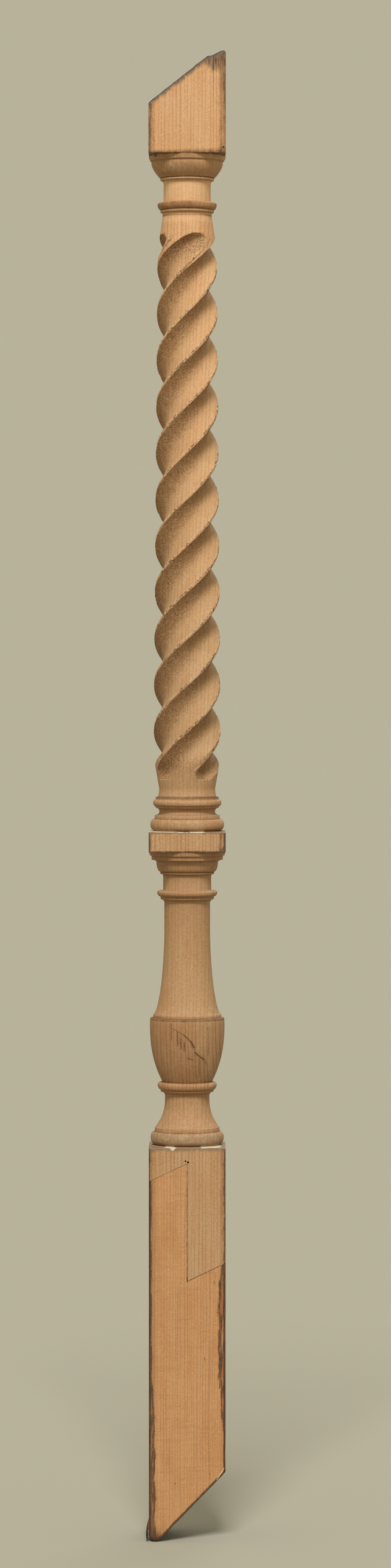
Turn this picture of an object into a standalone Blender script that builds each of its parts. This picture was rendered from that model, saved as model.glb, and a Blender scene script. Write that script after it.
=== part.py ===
"""A stair baluster of softwood, turned and twist-carved, with a new foot scarfed on.

Metres, +Z up. The origin is the centre of the raked foot face. The front face looks along -Y,
and both raked ends rise towards +X. Two pieces of wood make the object: the turned spindle,
from its raked top down to a tongue, and the spliced foot, which is halved onto that tongue.
"""

import math

import bmesh
import bpy
from mathutils import Vector

# Square stock
STOCK_WIDTH = 0.0470
STOCK_EDGE_EASE = 0.0006

# The two woods
OLD_WOOD_COLOUR = (0.58, 0.37, 0.21)
OLD_WOOD_ROUGHNESS = 0.62
NEW_WOOD_COLOUR = (0.48, 0.26, 0.11)
NEW_WOOD_ROUGHNESS = 0.58

# Raked ends, as angles from level
FOOT_RAKE = math.radians(45.8)
TOP_RAKE = math.radians(38.2)
TOP_BLOCK_LENGTH = 0.0491

# Wear at the two sharp tips, as depths below the uncut corner
FOOT_TIP_LOSS = 0.0062
FOOT_TIP_FLAT = 0.0026
FOOT_TIP_SIDE_RISE = 0.0042
FOOT_TIP_MIDDLE_RISE = 0.0012
TOP_TIP_LOSS = 0.0044
TOP_TIP_ROUNDING = 0.0006
TOP_TIP_CREST_WIDTH = 0.0021
TOP_TIP_STEP_WIDTH = 0.0040
TOP_TIP_WEAR_WIDTH = 0.0095

# The splinter that stands off the foot's left edge
SPLINTER_LENGTH = 0.0130
SPLINTER_STAND_OFF = 0.0019
SPLINTER_DEPTH = 0.0095
SPLINTER_BELLY_HEIGHT = 0.0039
SPLINTER_TOE_HEIGHT = 0.0010
SPLINTER_TOE_WIDTH = 0.0016
SPLINTER_CROTCH_HEIGHT = 0.0055

# Scarf joint between the spindle and the new foot
SCARF_TOP_BELOW_SHOULDER = 0.0093
SCARF_LENGTH = 0.0720
SCARF_SLOPE = math.radians(25.2)
GLUE_LINE = 0.0003

# Foot block, from the centre of its rake to its turned shoulder
FOOT_BLOCK_LENGTH = 0.2224

# Base torus, fillet and trumpet above the foot block
BASE_TORUS_HEIGHT = 0.0086
BASE_TORUS_RADIUS = 0.0225
BASE_TORUS_EDGE_RADIUS = 0.0202
BASE_FILLET_HEIGHT = 0.0025
BASE_FILLET_RADIUS = 0.0199
BASE_TRUMPET_HEIGHT = 0.0173
BASE_TRUMPET_RADIUS = 0.0197
BASE_TRUMPET_SHARPNESS = 2.25
WAIST_HEIGHT = 0.0019
WAIST_RADIUS = 0.01365

# Ring under the vase
VASE_RING_COVE_HEIGHT = 0.0026
VASE_RING_FILLET_HEIGHT = 0.0013
VASE_RING_FILLET_RADIUS = 0.0163
VASE_RING_HEIGHT = 0.0048
VASE_RING_RADIUS = 0.0182

# Vase
VASE_HEIGHT = 0.0394
VASE_FOOT_RADIUS = 0.0153
VASE_RADIUS = 0.0229
VASE_SHARPNESS = 2.4
VASE_LIP_HEIGHT = 0.0040
VASE_LIP_RADIUS = 0.0225
VASE_FILLET_HEIGHT = 0.0020
VASE_FILLET_RADIUS = 0.0209

# Slender column, with the trumpet that it grows from
TRUMPET_HEIGHT = 0.0500
TRUMPET_SPREAD = 0.6
TRUMPET_SHARPNESS = 1.55
COLUMN_HEIGHT = 0.0173
COLUMN_RADIUS = 0.01406

# Ring and neck over the column
COLUMN_RING_COVE_HEIGHT = 0.0023
COLUMN_RING_FILLET_HEIGHT = 0.0013
COLUMN_RING_FILLET_RADIUS = 0.0164
COLUMN_RING_HEIGHT = 0.0050
COLUMN_RING_RADIUS = 0.0185
MIDDLE_NECK_HEIGHT = 0.0089
MIDDLE_NECK_RADIUS = 0.01475

# Capital under the middle block
MIDDLE_COVE_HEIGHT = 0.0013
MIDDLE_BAND_HEIGHT = 0.0012
MIDDLE_BAND_RADIUS = 0.01625
MIDDLE_OVOLO_HEIGHT = 0.0060
MIDDLE_OVOLO_RADIUS = 0.0191
MIDDLE_HOLLOW_HEIGHT = 0.0018
MIDDLE_FILLET_HEIGHT = 0.0018
MIDDLE_FILLET_RADIUS = 0.0217
MIDDLE_FLARE_HEIGHT = 0.0031
MIDDLE_FLARE_RADIUS = 0.0247
MIDDLE_BLOCK_HEIGHT = 0.0123

# Mouldings between the middle block and the twisted shaft
SHAFT_TORUS_HEIGHT = 0.0077
SHAFT_TORUS_RADIUS = 0.02265
SHAFT_TORUS_EDGE_RADIUS = 0.0204
SHAFT_FILLET_HEIGHT = 0.0023
SHAFT_FILLET_RADIUS = 0.0200
SCOTIA_HEIGHT = 0.0045
SCOTIA_RADIUS = 0.0171
SCOTIA_BAND_HEIGHT = 0.0009
SCOTIA_BAND_RADIUS = 0.0195
ASTRAGAL_HEIGHT = 0.0042
ASTRAGAL_RADIUS = 0.02095
APOPHYGE_FILLET_HEIGHT = 0.0015
APOPHYGE_FILLET_RADIUS = 0.0193

# Twisted shaft: plain foot, fluted length and plain head
SHAFT_WAIST_HEIGHT = 0.0050
SHAFT_WAIST_RADIUS = 0.0172
SHAFT_FOOT_RADIUS = 0.0181
SHAFT_CONE_HEIGHT = 0.0165
SHAFT_CONE_RADIUS = 0.0200
SHAFT_BELLY_HEIGHT = 0.0225
SHAFT_BELLY_RADIUS = 0.0205
SHAFT_HEAD_HEIGHT = 0.0346
SHAFT_HEAD_RADIUS = 0.0186
SHAFT_HEAD_SHARPNESS = 1.8
SHAFT_NECK_RADIUS = 0.0150
PLAIN_FOOT_HEIGHT = 0.0107
FLUTED_HEIGHT = 0.3333
PLAIN_HEAD_HEIGHT = 0.0111

# Twist: hollow flutes that wind as a right-handed screw
FLUTES = 4
TWIST_LEAD = 0.1135
TWIST_START = math.radians(-4.4)
FLUTE_DEPTH = 0.0057
LAND_WIDTH = 0.0022
SCOOP_LONG_RUN = 0.0320
SCOOP_SHORT_RUN = 0.0080

# Ring and neck above the shaft
SHAFT_COVE_HEIGHT = 0.0018
SHAFT_BAND_HEIGHT = 0.0023
SHAFT_BAND_RADIUS = 0.0162
SHAFT_RING_HEIGHT = 0.0054
SHAFT_RING_RADIUS = 0.01805
TOP_NECK_HEIGHT = 0.0091
TOP_NECK_RADIUS = 0.0141

# Capital under the top block
TOP_COVE_HEIGHT = 0.0038
TOP_BAND_HEIGHT = 0.0016
TOP_BAND_RADIUS = 0.01625
TOP_OVOLO_HEIGHT = 0.0085
TOP_OVOLO_RADIUS = 0.0220
TOP_FILLET_HEIGHT = 0.0012
TOP_FILLET_RADIUS = 0.0227
TOP_FLARE_HEIGHT = 0.0030
TOP_FLARE_RADIUS = 0.0260

# A ring's long underside, as a share of its height
RING_UNDERSIDE = 0.66

# Fineness of the faceted surface
FLUTE_NODES = 6
COLUMNS = FLUTES * (FLUTE_NODES + 1)
SHAFT_ROW_SPACING = 0.0066
SCOOP_ROWS = (0.0, 0.05, 0.16, 0.36, 0.66, 1.0, 1.6, 2.4, 3.2, 4.0)
SCOOP_SPREAD = 0.62
LEAST_SCOOP = 0.005
SWEEP_GATHERING = 1.3
SHARP_EDGE = math.radians(32)
MERGE_DISTANCE = 1e-6
EDGE_TOLERANCE = 1e-5

HALF_STOCK = STOCK_WIDTH / 2
CORNER_CLEARANCE = 0.0020
CORNER_CLEAR_RADIUS = HALF_STOCK * math.sqrt(2) + CORNER_CLEARANCE
END_CLEARANCE = 0.0100
OVERLAP = 0.0010


def clear_scene():
    """Remove whatever the scene holds."""
    for old in list(bpy.data.objects):
        bpy.data.objects.remove(old, do_unlink=True)


def wood(name, colour, roughness):
    """A plain wood material."""
    material = bpy.data.materials.new(name)
    material.diffuse_color = (*colour, 1.0)
    material.use_nodes = True
    shader = material.node_tree.nodes["Principled BSDF"]
    shader.inputs["Base Color"].default_value = (*colour, 1.0)
    shader.inputs["Roughness"].default_value = roughness
    shader.inputs["Metallic"].default_value = 0.0
    return material


def mesh_object(name, bm, material=None):
    """An object that holds what was modelled in bm, shaded smooth except at its edges."""
    bmesh.ops.recalc_face_normals(bm, faces=bm.faces)
    mesh = bpy.data.meshes.new(name)
    bm.to_mesh(mesh)
    bm.free()
    shade(mesh)
    made = bpy.data.objects.new(name, mesh)
    bpy.context.scene.collection.objects.link(made)
    if material:
        mesh.materials.append(material)
    return made


def shade(mesh):
    """Shade a mesh smooth except at its edges."""
    mesh.shade_smooth()
    mesh.set_sharp_from_angle(angle=SHARP_EDGE)


def hide_cutter(cutter):
    """Keep a cutter out of the model itself."""
    cutter.hide_render = True
    cutter.display_type = "WIRE"


class Turning:
    """A turned outline, stacked from the foot up as the mouldings come."""

    def __init__(self, height):
        self.height = height
        self.outline = []

    def point(self, radius):
        """One point at the present height."""
        self.outline.append((self.height, radius))

    def fillet(self, height, radius):
        """A plain band."""
        self.point(radius)
        self.height += height
        self.point(radius)

    def ovolo(self, height, foot_radius, radius, steps):
        """A quarter round that swells outwards as it rises."""
        self.quarter(height, foot_radius, radius, steps, swelling=True)

    def cove(self, height, foot_radius, radius, steps):
        """A quarter hollow that flares outwards at its top."""
        self.quarter(height, foot_radius, radius, steps, swelling=False)

    def quarter(self, height, foot_radius, radius, steps, swelling):
        """A quarter of an ellipse between two radii."""
        start = self.height
        for step in range(steps + 1):
            turn = math.pi / 2 * step / steps
            if swelling:
                rise, spread = 1 - math.cos(turn), math.sin(turn)
            else:
                rise, spread = math.sin(turn), 1 - math.cos(turn)
            self.height = start + height * rise
            self.point(foot_radius + (radius - foot_radius) * spread)
        self.height = start + height

    def shoulder(self, height, foot_radius, radius, steps):
        """A quarter round that closes inwards as it rises."""
        start = self.height
        for step in range(1, steps + 1):
            turn = math.pi / 2 * step / steps
            self.height = start + height * math.sin(turn)
            self.point(radius + (foot_radius - radius) * math.cos(turn))
        self.height = start + height

    def bead(self, height, edge_radius, radius, steps):
        """Half an ellipse: a torus, or a scotia where the radius is the smaller."""
        start = self.height
        for step in range(steps + 1):
            turn = math.pi * step / steps
            self.height = start + height * (1 - math.cos(turn)) / 2
            self.point(edge_radius + (radius - edge_radius) * math.sin(turn))
        self.height = start + height

    def ring(self, height, foot_radius, radius, head_radius):
        """A collar with a long underside and a short rounded top."""
        under = height * RING_UNDERSIDE
        self.ovolo(under, foot_radius, radius, 3)
        self.shoulder(height - under, radius, head_radius, 2)

    def sweep(self, height, foot_radius, radius, steps, spread=1.0, sharpness=2.0):
        """A curve that leaves one radius fast and settles into the other."""
        start = self.height
        for step in range(steps + 1):
            share = (step / steps) ** SWEEP_GATHERING
            left = (1 - share**spread) ** sharpness
            self.height = start + height * share
            self.point(radius + (foot_radius - radius) * left)
        self.height = start + height


def lower_turning():
    """The outline from the foot block up to the foot of the twisted shaft."""
    run = Turning(FOOT_BLOCK_LENGTH)
    run.bead(BASE_TORUS_HEIGHT, BASE_TORUS_EDGE_RADIUS, BASE_TORUS_RADIUS, 5)
    run.fillet(BASE_FILLET_HEIGHT, BASE_FILLET_RADIUS)
    run.sweep(
        BASE_TRUMPET_HEIGHT, BASE_TRUMPET_RADIUS, WAIST_RADIUS, 5, sharpness=BASE_TRUMPET_SHARPNESS
    )
    run.height += WAIST_HEIGHT
    run.cove(VASE_RING_COVE_HEIGHT, WAIST_RADIUS, VASE_RING_FILLET_RADIUS, 3)
    run.height += VASE_RING_FILLET_HEIGHT
    run.ring(
        VASE_RING_HEIGHT, VASE_RING_FILLET_RADIUS, VASE_RING_RADIUS, VASE_FOOT_RADIUS
    )
    body = VASE_HEIGHT - VASE_LIP_HEIGHT
    run.sweep(body, VASE_FOOT_RADIUS, VASE_RADIUS, 6, sharpness=VASE_SHARPNESS)
    run.shoulder(VASE_LIP_HEIGHT, VASE_RADIUS, VASE_LIP_RADIUS, 2)
    run.fillet(VASE_FILLET_HEIGHT, VASE_FILLET_RADIUS)
    run.sweep(
        TRUMPET_HEIGHT, VASE_FILLET_RADIUS, COLUMN_RADIUS, 6, TRUMPET_SPREAD, TRUMPET_SHARPNESS
    )
    run.height += COLUMN_HEIGHT
    run.cove(COLUMN_RING_COVE_HEIGHT, COLUMN_RADIUS, COLUMN_RING_FILLET_RADIUS, 2)
    run.height += COLUMN_RING_FILLET_HEIGHT
    run.ring(
        COLUMN_RING_HEIGHT, COLUMN_RING_FILLET_RADIUS, COLUMN_RING_RADIUS, MIDDLE_NECK_RADIUS
    )
    run.height += MIDDLE_NECK_HEIGHT
    run.cove(MIDDLE_COVE_HEIGHT, MIDDLE_NECK_RADIUS, MIDDLE_BAND_RADIUS, 2)
    run.height += MIDDLE_BAND_HEIGHT
    run.ovolo(MIDDLE_OVOLO_HEIGHT, MIDDLE_BAND_RADIUS, MIDDLE_OVOLO_RADIUS, 4)
    run.cove(MIDDLE_HOLLOW_HEIGHT, MIDDLE_OVOLO_RADIUS, MIDDLE_FILLET_RADIUS, 2)
    run.height += MIDDLE_FILLET_HEIGHT
    run.ovolo(MIDDLE_FLARE_HEIGHT, MIDDLE_FILLET_RADIUS, MIDDLE_FLARE_RADIUS, 3)
    run.fillet(MIDDLE_BLOCK_HEIGHT, CORNER_CLEAR_RADIUS)
    run.bead(SHAFT_TORUS_HEIGHT, SHAFT_TORUS_EDGE_RADIUS, SHAFT_TORUS_RADIUS, 5)
    run.fillet(SHAFT_FILLET_HEIGHT, SHAFT_FILLET_RADIUS)
    run.bead(SCOTIA_HEIGHT, SCOTIA_BAND_RADIUS, SCOTIA_RADIUS, 4)
    run.height += SCOTIA_BAND_HEIGHT
    run.bead(ASTRAGAL_HEIGHT, SCOTIA_BAND_RADIUS, ASTRAGAL_RADIUS, 4)
    run.fillet(APOPHYGE_FILLET_HEIGHT, APOPHYGE_FILLET_RADIUS)
    return run


def upper_turning(height):
    """The outline from the head of the twisted shaft up to the top block."""
    run = Turning(height)
    run.cove(SHAFT_COVE_HEIGHT, SHAFT_NECK_RADIUS, SHAFT_BAND_RADIUS, 2)
    run.height += SHAFT_BAND_HEIGHT
    run.ring(SHAFT_RING_HEIGHT, SHAFT_BAND_RADIUS, SHAFT_RING_RADIUS, TOP_NECK_RADIUS)
    run.height += TOP_NECK_HEIGHT
    run.cove(TOP_COVE_HEIGHT, TOP_NECK_RADIUS, TOP_BAND_RADIUS, 3)
    run.height += TOP_BAND_HEIGHT
    run.ovolo(TOP_OVOLO_HEIGHT, TOP_BAND_RADIUS, TOP_OVOLO_RADIUS, 5)
    run.fillet(TOP_FILLET_HEIGHT, TOP_FILLET_RADIUS)
    run.ovolo(TOP_FLARE_HEIGHT, TOP_FILLET_RADIUS, TOP_FLARE_RADIUS, 3)
    return run


SHAFT_HEIGHT = PLAIN_FOOT_HEIGHT + FLUTED_HEIGHT + PLAIN_HEAD_HEIGHT


def shaft_radius(height):
    """The uncarved shaft's radius at a height above its foot."""
    cone_top = SHAFT_WAIST_HEIGHT + SHAFT_CONE_HEIGHT
    belly = cone_top + SHAFT_BELLY_HEIGHT
    head = SHAFT_HEIGHT - SHAFT_HEAD_HEIGHT
    if height < SHAFT_WAIST_HEIGHT:
        left = (1 - height / SHAFT_WAIST_HEIGHT) ** 2
        return SHAFT_WAIST_RADIUS + (SHAFT_FOOT_RADIUS - SHAFT_WAIST_RADIUS) * left
    if height < cone_top:
        share = (height - SHAFT_WAIST_HEIGHT) / SHAFT_CONE_HEIGHT
        return SHAFT_WAIST_RADIUS + (SHAFT_CONE_RADIUS - SHAFT_WAIST_RADIUS) * share
    if height < belly:
        share = math.sin(math.pi / 2 * (height - cone_top) / SHAFT_BELLY_HEIGHT)
        return SHAFT_CONE_RADIUS + (SHAFT_BELLY_RADIUS - SHAFT_CONE_RADIUS) * share
    if height < head:
        share = (height - belly) / (head - belly)
        return SHAFT_BELLY_RADIUS + (SHAFT_HEAD_RADIUS - SHAFT_BELLY_RADIUS) * share
    share = min(1.0, (height - head) / SHAFT_HEAD_HEIGHT) ** SHAFT_HEAD_SHARPNESS
    return SHAFT_HEAD_RADIUS + (SHAFT_NECK_RADIUS - SHAFT_HEAD_RADIUS) * share


def narrowing(distance, run):
    """The share of a flute's half width that is lost this far from its end."""
    if distance >= run:
        return 0.0
    return 1 - math.sqrt(max(0.0, 1 - (1 - max(0.0, distance) / run) ** 2))


def flute_edges(height):
    """How far a flute reaches to each side of its centre line, as shares of its half width."""
    from_foot = height - PLAIN_FOOT_HEIGHT
    from_head = FLUTED_HEIGHT - from_foot
    upper_side = 1 - max(
        narrowing(from_foot, SCOOP_SHORT_RUN), narrowing(from_head, SCOOP_LONG_RUN)
    )
    lower_side = 1 - max(
        narrowing(from_foot, SCOOP_LONG_RUN), narrowing(from_head, SCOOP_SHORT_RUN)
    )
    return upper_side, lower_side


def twist_angle(height):
    """Where one arris stands at a height above the shaft's foot, from the front towards +X."""
    turned = min(max(height - PLAIN_FOOT_HEIGHT, 0.0), FLUTED_HEIGHT)
    return TWIST_START + 2 * math.pi * turned / TWIST_LEAD


def shaft_ring(height):
    """Angles and radii round the shaft at a height above its foot."""
    radius = shaft_radius(height)
    pitch = 2 * math.pi / FLUTES
    half_flute = pitch / 2 - LAND_WIDTH / 2 / radius
    upper_side, lower_side = flute_edges(height)
    width = (lower_side + upper_side) / 2
    middle = (lower_side - upper_side) / 2
    ring = []
    for flute in range(FLUTES):
        arris = twist_angle(height) + flute * pitch
        ring.append((arris, radius))
        for node in range(FLUTE_NODES):
            share = 2 * node / (FLUTE_NODES - 1) - 1
            side = upper_side if share < 0 else lower_side
            offset = share * half_flute * max(side, SCOOP_SPREAD)
            depth = 0.0
            if width > LEAST_SCOOP:
                across = (offset / half_flute - middle) / width
                depth = FLUTE_DEPTH * width * max(0.0, 1 - across * across)
            ring.append((arris + pitch / 2 + offset, radius - depth))
    return ring


def shaft_heights():
    """The heights above the shaft's foot at which the shaft's rings stand."""
    ends = [SCOOP_SHORT_RUN * step for step in SCOOP_ROWS]
    foot = [PLAIN_FOOT_HEIGHT + end for end in ends]
    head = [PLAIN_FOOT_HEIGHT + FLUTED_HEIGHT - end for end in reversed(ends)]
    rows = max(2, round((head[0] - foot[-1]) / SHAFT_ROW_SPACING))
    between = [foot[-1] + (head[0] - foot[-1]) * row / rows for row in range(1, rows)]
    plain_foot = [0.0, SHAFT_WAIST_HEIGHT / 2, SHAFT_WAIST_HEIGHT]
    plain_head = [SHAFT_HEIGHT - PLAIN_HEAD_HEIGHT / 2]
    return plain_foot + foot + between + head + plain_head


def even_ring(radius, start):
    """Angles and radii of a plain turned ring."""
    return [(start + 2 * math.pi * column / COLUMNS, radius) for column in range(COLUMNS)]


def turned_rings():
    """Every ring of the turned and carved form, as (height, ring), from foot to top."""
    lower = lower_turning()
    shaft_foot = lower.height
    upper = upper_turning(shaft_foot + SHAFT_HEIGHT)
    start = twist_angle(0.0)
    end = twist_angle(SHAFT_HEIGHT)
    below = scarf_foot_height() - END_CLEARANCE
    above = upper.height + TOP_BLOCK_LENGTH + STOCK_WIDTH
    rings = [(below, even_ring(CORNER_CLEAR_RADIUS, start))]
    rings.append((FOOT_BLOCK_LENGTH, even_ring(CORNER_CLEAR_RADIUS, start)))
    rings += [(height, even_ring(radius, start)) for height, radius in lower.outline]
    rings += [(shaft_foot + height, shaft_ring(height)) for height in shaft_heights()]
    rings += [(height, even_ring(radius, end)) for height, radius in upper.outline]
    rings.append((upper.height, even_ring(CORNER_CLEAR_RADIUS, end)))
    rings.append((above, even_ring(CORNER_CLEAR_RADIUS, end)))
    return rings, upper.height


def turned_form(rings):
    """The solid that the lathe and the carver leave, wider than the stock at its blocks."""
    bm = bmesh.new()
    grid = []
    for height, ring in rings:
        grid.append(
            [
                bm.verts.new((radius * math.sin(angle), -radius * math.cos(angle), height))
                for angle, radius in ring
            ]
        )
    for low, high in zip(grid, grid[1:]):
        for column in range(COLUMNS):
            after = (column + 1) % COLUMNS
            bm.faces.new((low[column], low[after], high[after], high[column]))
    bm.faces.new(reversed(grid[0]))
    bm.faces.new(grid[-1])
    bmesh.ops.remove_doubles(bm, verts=bm.verts, dist=MERGE_DISTANCE)
    bmesh.ops.triangulate(bm, faces=bm.faces, quad_method="SHORT_EDGE")
    form = mesh_object("turned_form", bm)
    hide_cutter(form)
    return form


def extruded_outline(name, outline, half_depth, material=None, ease=0.0):
    """A solid with this outline in X and Z, through from front to back, its long edges eased."""
    bm = bmesh.new()
    front = [bm.verts.new((x, -half_depth, z)) for x, z in outline]
    face = bm.faces.new(front)
    made = bmesh.ops.extrude_face_region(bm, geom=[face])
    moved = [part for part in made["geom"] if isinstance(part, bmesh.types.BMVert)]
    bmesh.ops.translate(bm, verts=moved, vec=Vector((0.0, 2 * half_depth, 0.0)))
    if ease:
        long_edges = [edge for edge in bm.edges if is_stock_edge(edge)]
        bmesh.ops.bevel(
            bm, geom=long_edges, offset=ease, segments=2, profile=0.5, affect="EDGES"
        )
    return mesh_object(name, bm, material)


def is_stock_edge(edge):
    """Whether an edge runs up one of the stock's four corners."""
    return all(
        max(abs(abs(vert.co.x) - HALF_STOCK), abs(abs(vert.co.y) - HALF_STOCK)) < EDGE_TOLERANCE
        for vert in edge.verts
    )


def scarf_top_height():
    """The height of the scarf's upper end, on the spindle's axis."""
    return FOOT_BLOCK_LENGTH - SCARF_TOP_BELOW_SHOULDER


def scarf_foot_height():
    """The height of the scarf's lower end, on the spindle's axis."""
    return scarf_top_height() - SCARF_LENGTH


def scarf_line(side):
    """The joint from left to right, moved half a glue line to the given side (-1 is the foot)."""
    slope = math.tan(SCARF_SLOPE)
    shift_x = side * GLUE_LINE / 2
    shift_z = side * GLUE_LINE / 2 * (1 + math.sin(SCARF_SLOPE)) / math.cos(SCARF_SLOPE)
    top = scarf_top_height() + shift_z
    foot = scarf_foot_height() + shift_z
    return [
        (-HALF_STOCK, top - (HALF_STOCK + shift_x) * slope),
        (shift_x, top),
        (shift_x, foot),
        (HALF_STOCK, foot + (HALF_STOCK - shift_x) * slope),
    ]


def spindle_outline(top_block_foot):
    """The spindle's stock seen from the front: joint, right side, worn raked top, left side."""
    centre = top_block_foot + TOP_BLOCK_LENGTH
    slope = math.tan(TOP_RAKE)
    corner = centre + HALF_STOCK * slope
    worn_from = HALF_STOCK - TOP_TIP_WEAR_WIDTH
    top = [
        (HALF_STOCK, corner - TOP_TIP_LOSS - TOP_TIP_ROUNDING),
        (HALF_STOCK - TOP_TIP_CREST_WIDTH, corner - TOP_TIP_LOSS),
        (HALF_STOCK - TOP_TIP_STEP_WIDTH, corner - TOP_TIP_LOSS - TOP_TIP_ROUNDING),
        (worn_from, centre + worn_from * slope),
        (-HALF_STOCK, centre - HALF_STOCK * slope),
    ]
    return scarf_line(side=1) + top


def foot_outline():
    """The foot's stock seen from the front: raked foot with its worn tip, sides, joint."""
    slope = math.tan(FOOT_RAKE)
    corner = -HALF_STOCK * slope
    floor = corner + FOOT_TIP_LOSS
    tip_right = floor / slope
    tip_left = tip_right - FOOT_TIP_FLAT
    raked = [
        (-HALF_STOCK, floor + FOOT_TIP_SIDE_RISE),
        ((tip_left - HALF_STOCK) / 2, floor + FOOT_TIP_MIDDLE_RISE),
        (tip_left, floor),
        (tip_right, floor),
        (HALF_STOCK, HALF_STOCK * slope),
    ]
    return raked + list(reversed(scarf_line(side=-1)))


def splinter():
    """The split sliver on the foot's left edge, leaning away from the block at its lower end."""
    floor = -HALF_STOCK * math.tan(FOOT_RAKE) + FOOT_TIP_LOSS
    foot = floor + FOOT_TIP_MIDDLE_RISE
    face = -HALF_STOCK
    edge = face - SPLINTER_STAND_OFF
    outline = [
        (face + OVERLAP, foot + SPLINTER_LENGTH),
        (face, foot + SPLINTER_LENGTH),
        (edge, foot + SPLINTER_BELLY_HEIGHT),
        (edge, foot + SPLINTER_TOE_HEIGHT),
        (edge + SPLINTER_TOE_WIDTH, foot),
        (face + OVERLAP, foot + SPLINTER_CROTCH_HEIGHT),
    ]
    sliver = extruded_outline("splinter", outline, SPLINTER_DEPTH / 2)
    sliver.location.y = SPLINTER_DEPTH / 2 + STOCK_EDGE_EASE * 2 - HALF_STOCK
    hide_cutter(sliver)
    return sliver


def boolean(target, other, operation):
    """Join or cut one solid by another, and keep the result as its mesh."""
    modifier = target.modifiers.new(other.name, "BOOLEAN")
    modifier.operation = operation
    modifier.solver = "EXACT"
    modifier.object = other
    graph = bpy.context.evaluated_depsgraph_get()
    mesh = bpy.data.meshes.new_from_object(target.evaluated_get(graph))
    target.modifiers.remove(modifier)
    target.data = mesh
    shade(mesh)


def build():
    """Model the spindle and its spliced foot."""
    clear_scene()
    old_wood = wood("aged_softwood", OLD_WOOD_COLOUR, OLD_WOOD_ROUGHNESS)
    new_wood = wood("foot_softwood", NEW_WOOD_COLOUR, NEW_WOOD_ROUGHNESS)

    rings, top_block_foot = turned_rings()
    form = turned_form(rings)
    spindle = extruded_outline(
        "turned_spindle", spindle_outline(top_block_foot), HALF_STOCK, old_wood, STOCK_EDGE_EASE
    )
    boolean(spindle, form, "INTERSECT")

    foot = extruded_outline(
        "spliced_foot", foot_outline(), HALF_STOCK, new_wood, STOCK_EDGE_EASE
    )
    boolean(foot, splinter(), "UNION")


build()
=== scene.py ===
"""The looks of an old stair baluster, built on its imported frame.

The turned spindle carries a four-start twist, its mouldings, a small square block and a raked top block. A
newer foot is scarfed onto its tongue. Everything is in metres, with +Z up. The front face looks along -Y, and
both raked ends rise towards +X.
"""

from __future__ import annotations

import logging
import math
from collections.abc import Callable
from dataclasses import dataclass, fields
from enum import Enum
from typing import ClassVar

import bpy
import numpy as np
from bpy.types import Material, Mesh, NodeSocket, NodeTree, Object
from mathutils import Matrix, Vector, noise

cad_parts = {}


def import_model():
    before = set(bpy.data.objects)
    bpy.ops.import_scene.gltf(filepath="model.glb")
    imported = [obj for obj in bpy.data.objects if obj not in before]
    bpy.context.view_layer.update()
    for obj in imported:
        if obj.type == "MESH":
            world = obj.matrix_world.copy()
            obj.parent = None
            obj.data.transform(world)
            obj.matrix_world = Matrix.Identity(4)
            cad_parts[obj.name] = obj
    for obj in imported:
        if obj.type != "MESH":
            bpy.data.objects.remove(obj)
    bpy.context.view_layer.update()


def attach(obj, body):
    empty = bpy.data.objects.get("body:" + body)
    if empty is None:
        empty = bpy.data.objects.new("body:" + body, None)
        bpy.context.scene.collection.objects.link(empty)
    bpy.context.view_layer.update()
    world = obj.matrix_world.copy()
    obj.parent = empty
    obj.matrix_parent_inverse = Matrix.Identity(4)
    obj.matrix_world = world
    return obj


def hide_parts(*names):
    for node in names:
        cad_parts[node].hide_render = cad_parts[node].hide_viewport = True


LOG = logging.getLogger("baluster")

HALF_STOCK = 0.0235
CLEAR_RADIUS = 0.04
SWEEP_COARSENESS = 0.55
SHARP_EDGE = math.radians(48)
SHARP_CORNER = math.radians(28)
EDGE_WEAR = 0.00028

Point = tuple[float, float]
Colour = tuple[float, float, float, float]
Array = np.ndarray
Height = Callable[[Array, Array], Array]


def tone(red: int, green: int, blue: int) -> Colour:
    """A colour from its 0 to 255 values, as light."""
    shares = [value / 255 for value in (red, green, blue)]
    return (*(s / 12.92 if s < 0.04045 else ((s + 0.055) / 1.055) ** 2.4 for s in shares), 1.0)


def ease(value: Array, low: float, high: float) -> Array:
    """A smooth rise from 0 at low to 1 at high; a fall where low is above high."""
    share = np.clip((value - low) / (high - low), 0.0, 1.0)
    return share * share * (3 - 2 * share)


def ripple(points: Array, spacing: tuple[float, float, float], seed: float) -> Array:
    """Smooth noise from -1 to 1 at each point, with waves about as long as the spacing on each axis."""
    scaled = points / np.array(spacing) + seed
    return np.array([noise.noise(Vector(place)) for place in scaled])


class Signal:
    """A number that flows through a node tree, with the sums that can be done on it."""

    def __init__(self, tree: NodeTree, socket: NodeSocket) -> None:
        """Wrap the output that carries the number."""
        self.tree = tree
        self.socket = socket

    def do(self, operation: str, *others: Signal | float) -> Signal:
        """One Math node on this number and its other operands."""
        return add_node(self.tree, "ShaderNodeMath", self, *others, operation=operation)

    def __add__(self, other: Signal | float) -> Signal:
        """The sum."""
        return self.do("ADD", other)

    def __sub__(self, other: Signal | float) -> Signal:
        """The difference."""
        return self.do("SUBTRACT", other)

    def __mul__(self, other: Signal | float) -> Signal:
        """The product."""
        return self.do("MULTIPLY", other)

    def __truediv__(self, other: Signal | float) -> Signal:
        """The quotient."""
        return self.do("DIVIDE", other)

    def __neg__(self) -> Signal:
        """The negative."""
        return self.do("MULTIPLY", -1.0)

    def __rsub__(self, other: float) -> Signal:
        """What is left of a plain number."""
        return -self + other

    __radd__ = __add__

    def clamp(self) -> Signal:
        """The number held between 0 and 1."""
        return self.do("MAXIMUM", 0.0).do("MINIMUM", 1.0)

    def ease(self, low: Signal | float, high: Signal | float) -> Signal:
        """A smooth rise from 0 at low to 1 at high; a fall where low is above high."""
        return add_node(self.tree, "ShaderNodeMapRange", self, low, high, interpolation_type="SMOOTHSTEP")


Value = Signal | float | tuple


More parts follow.
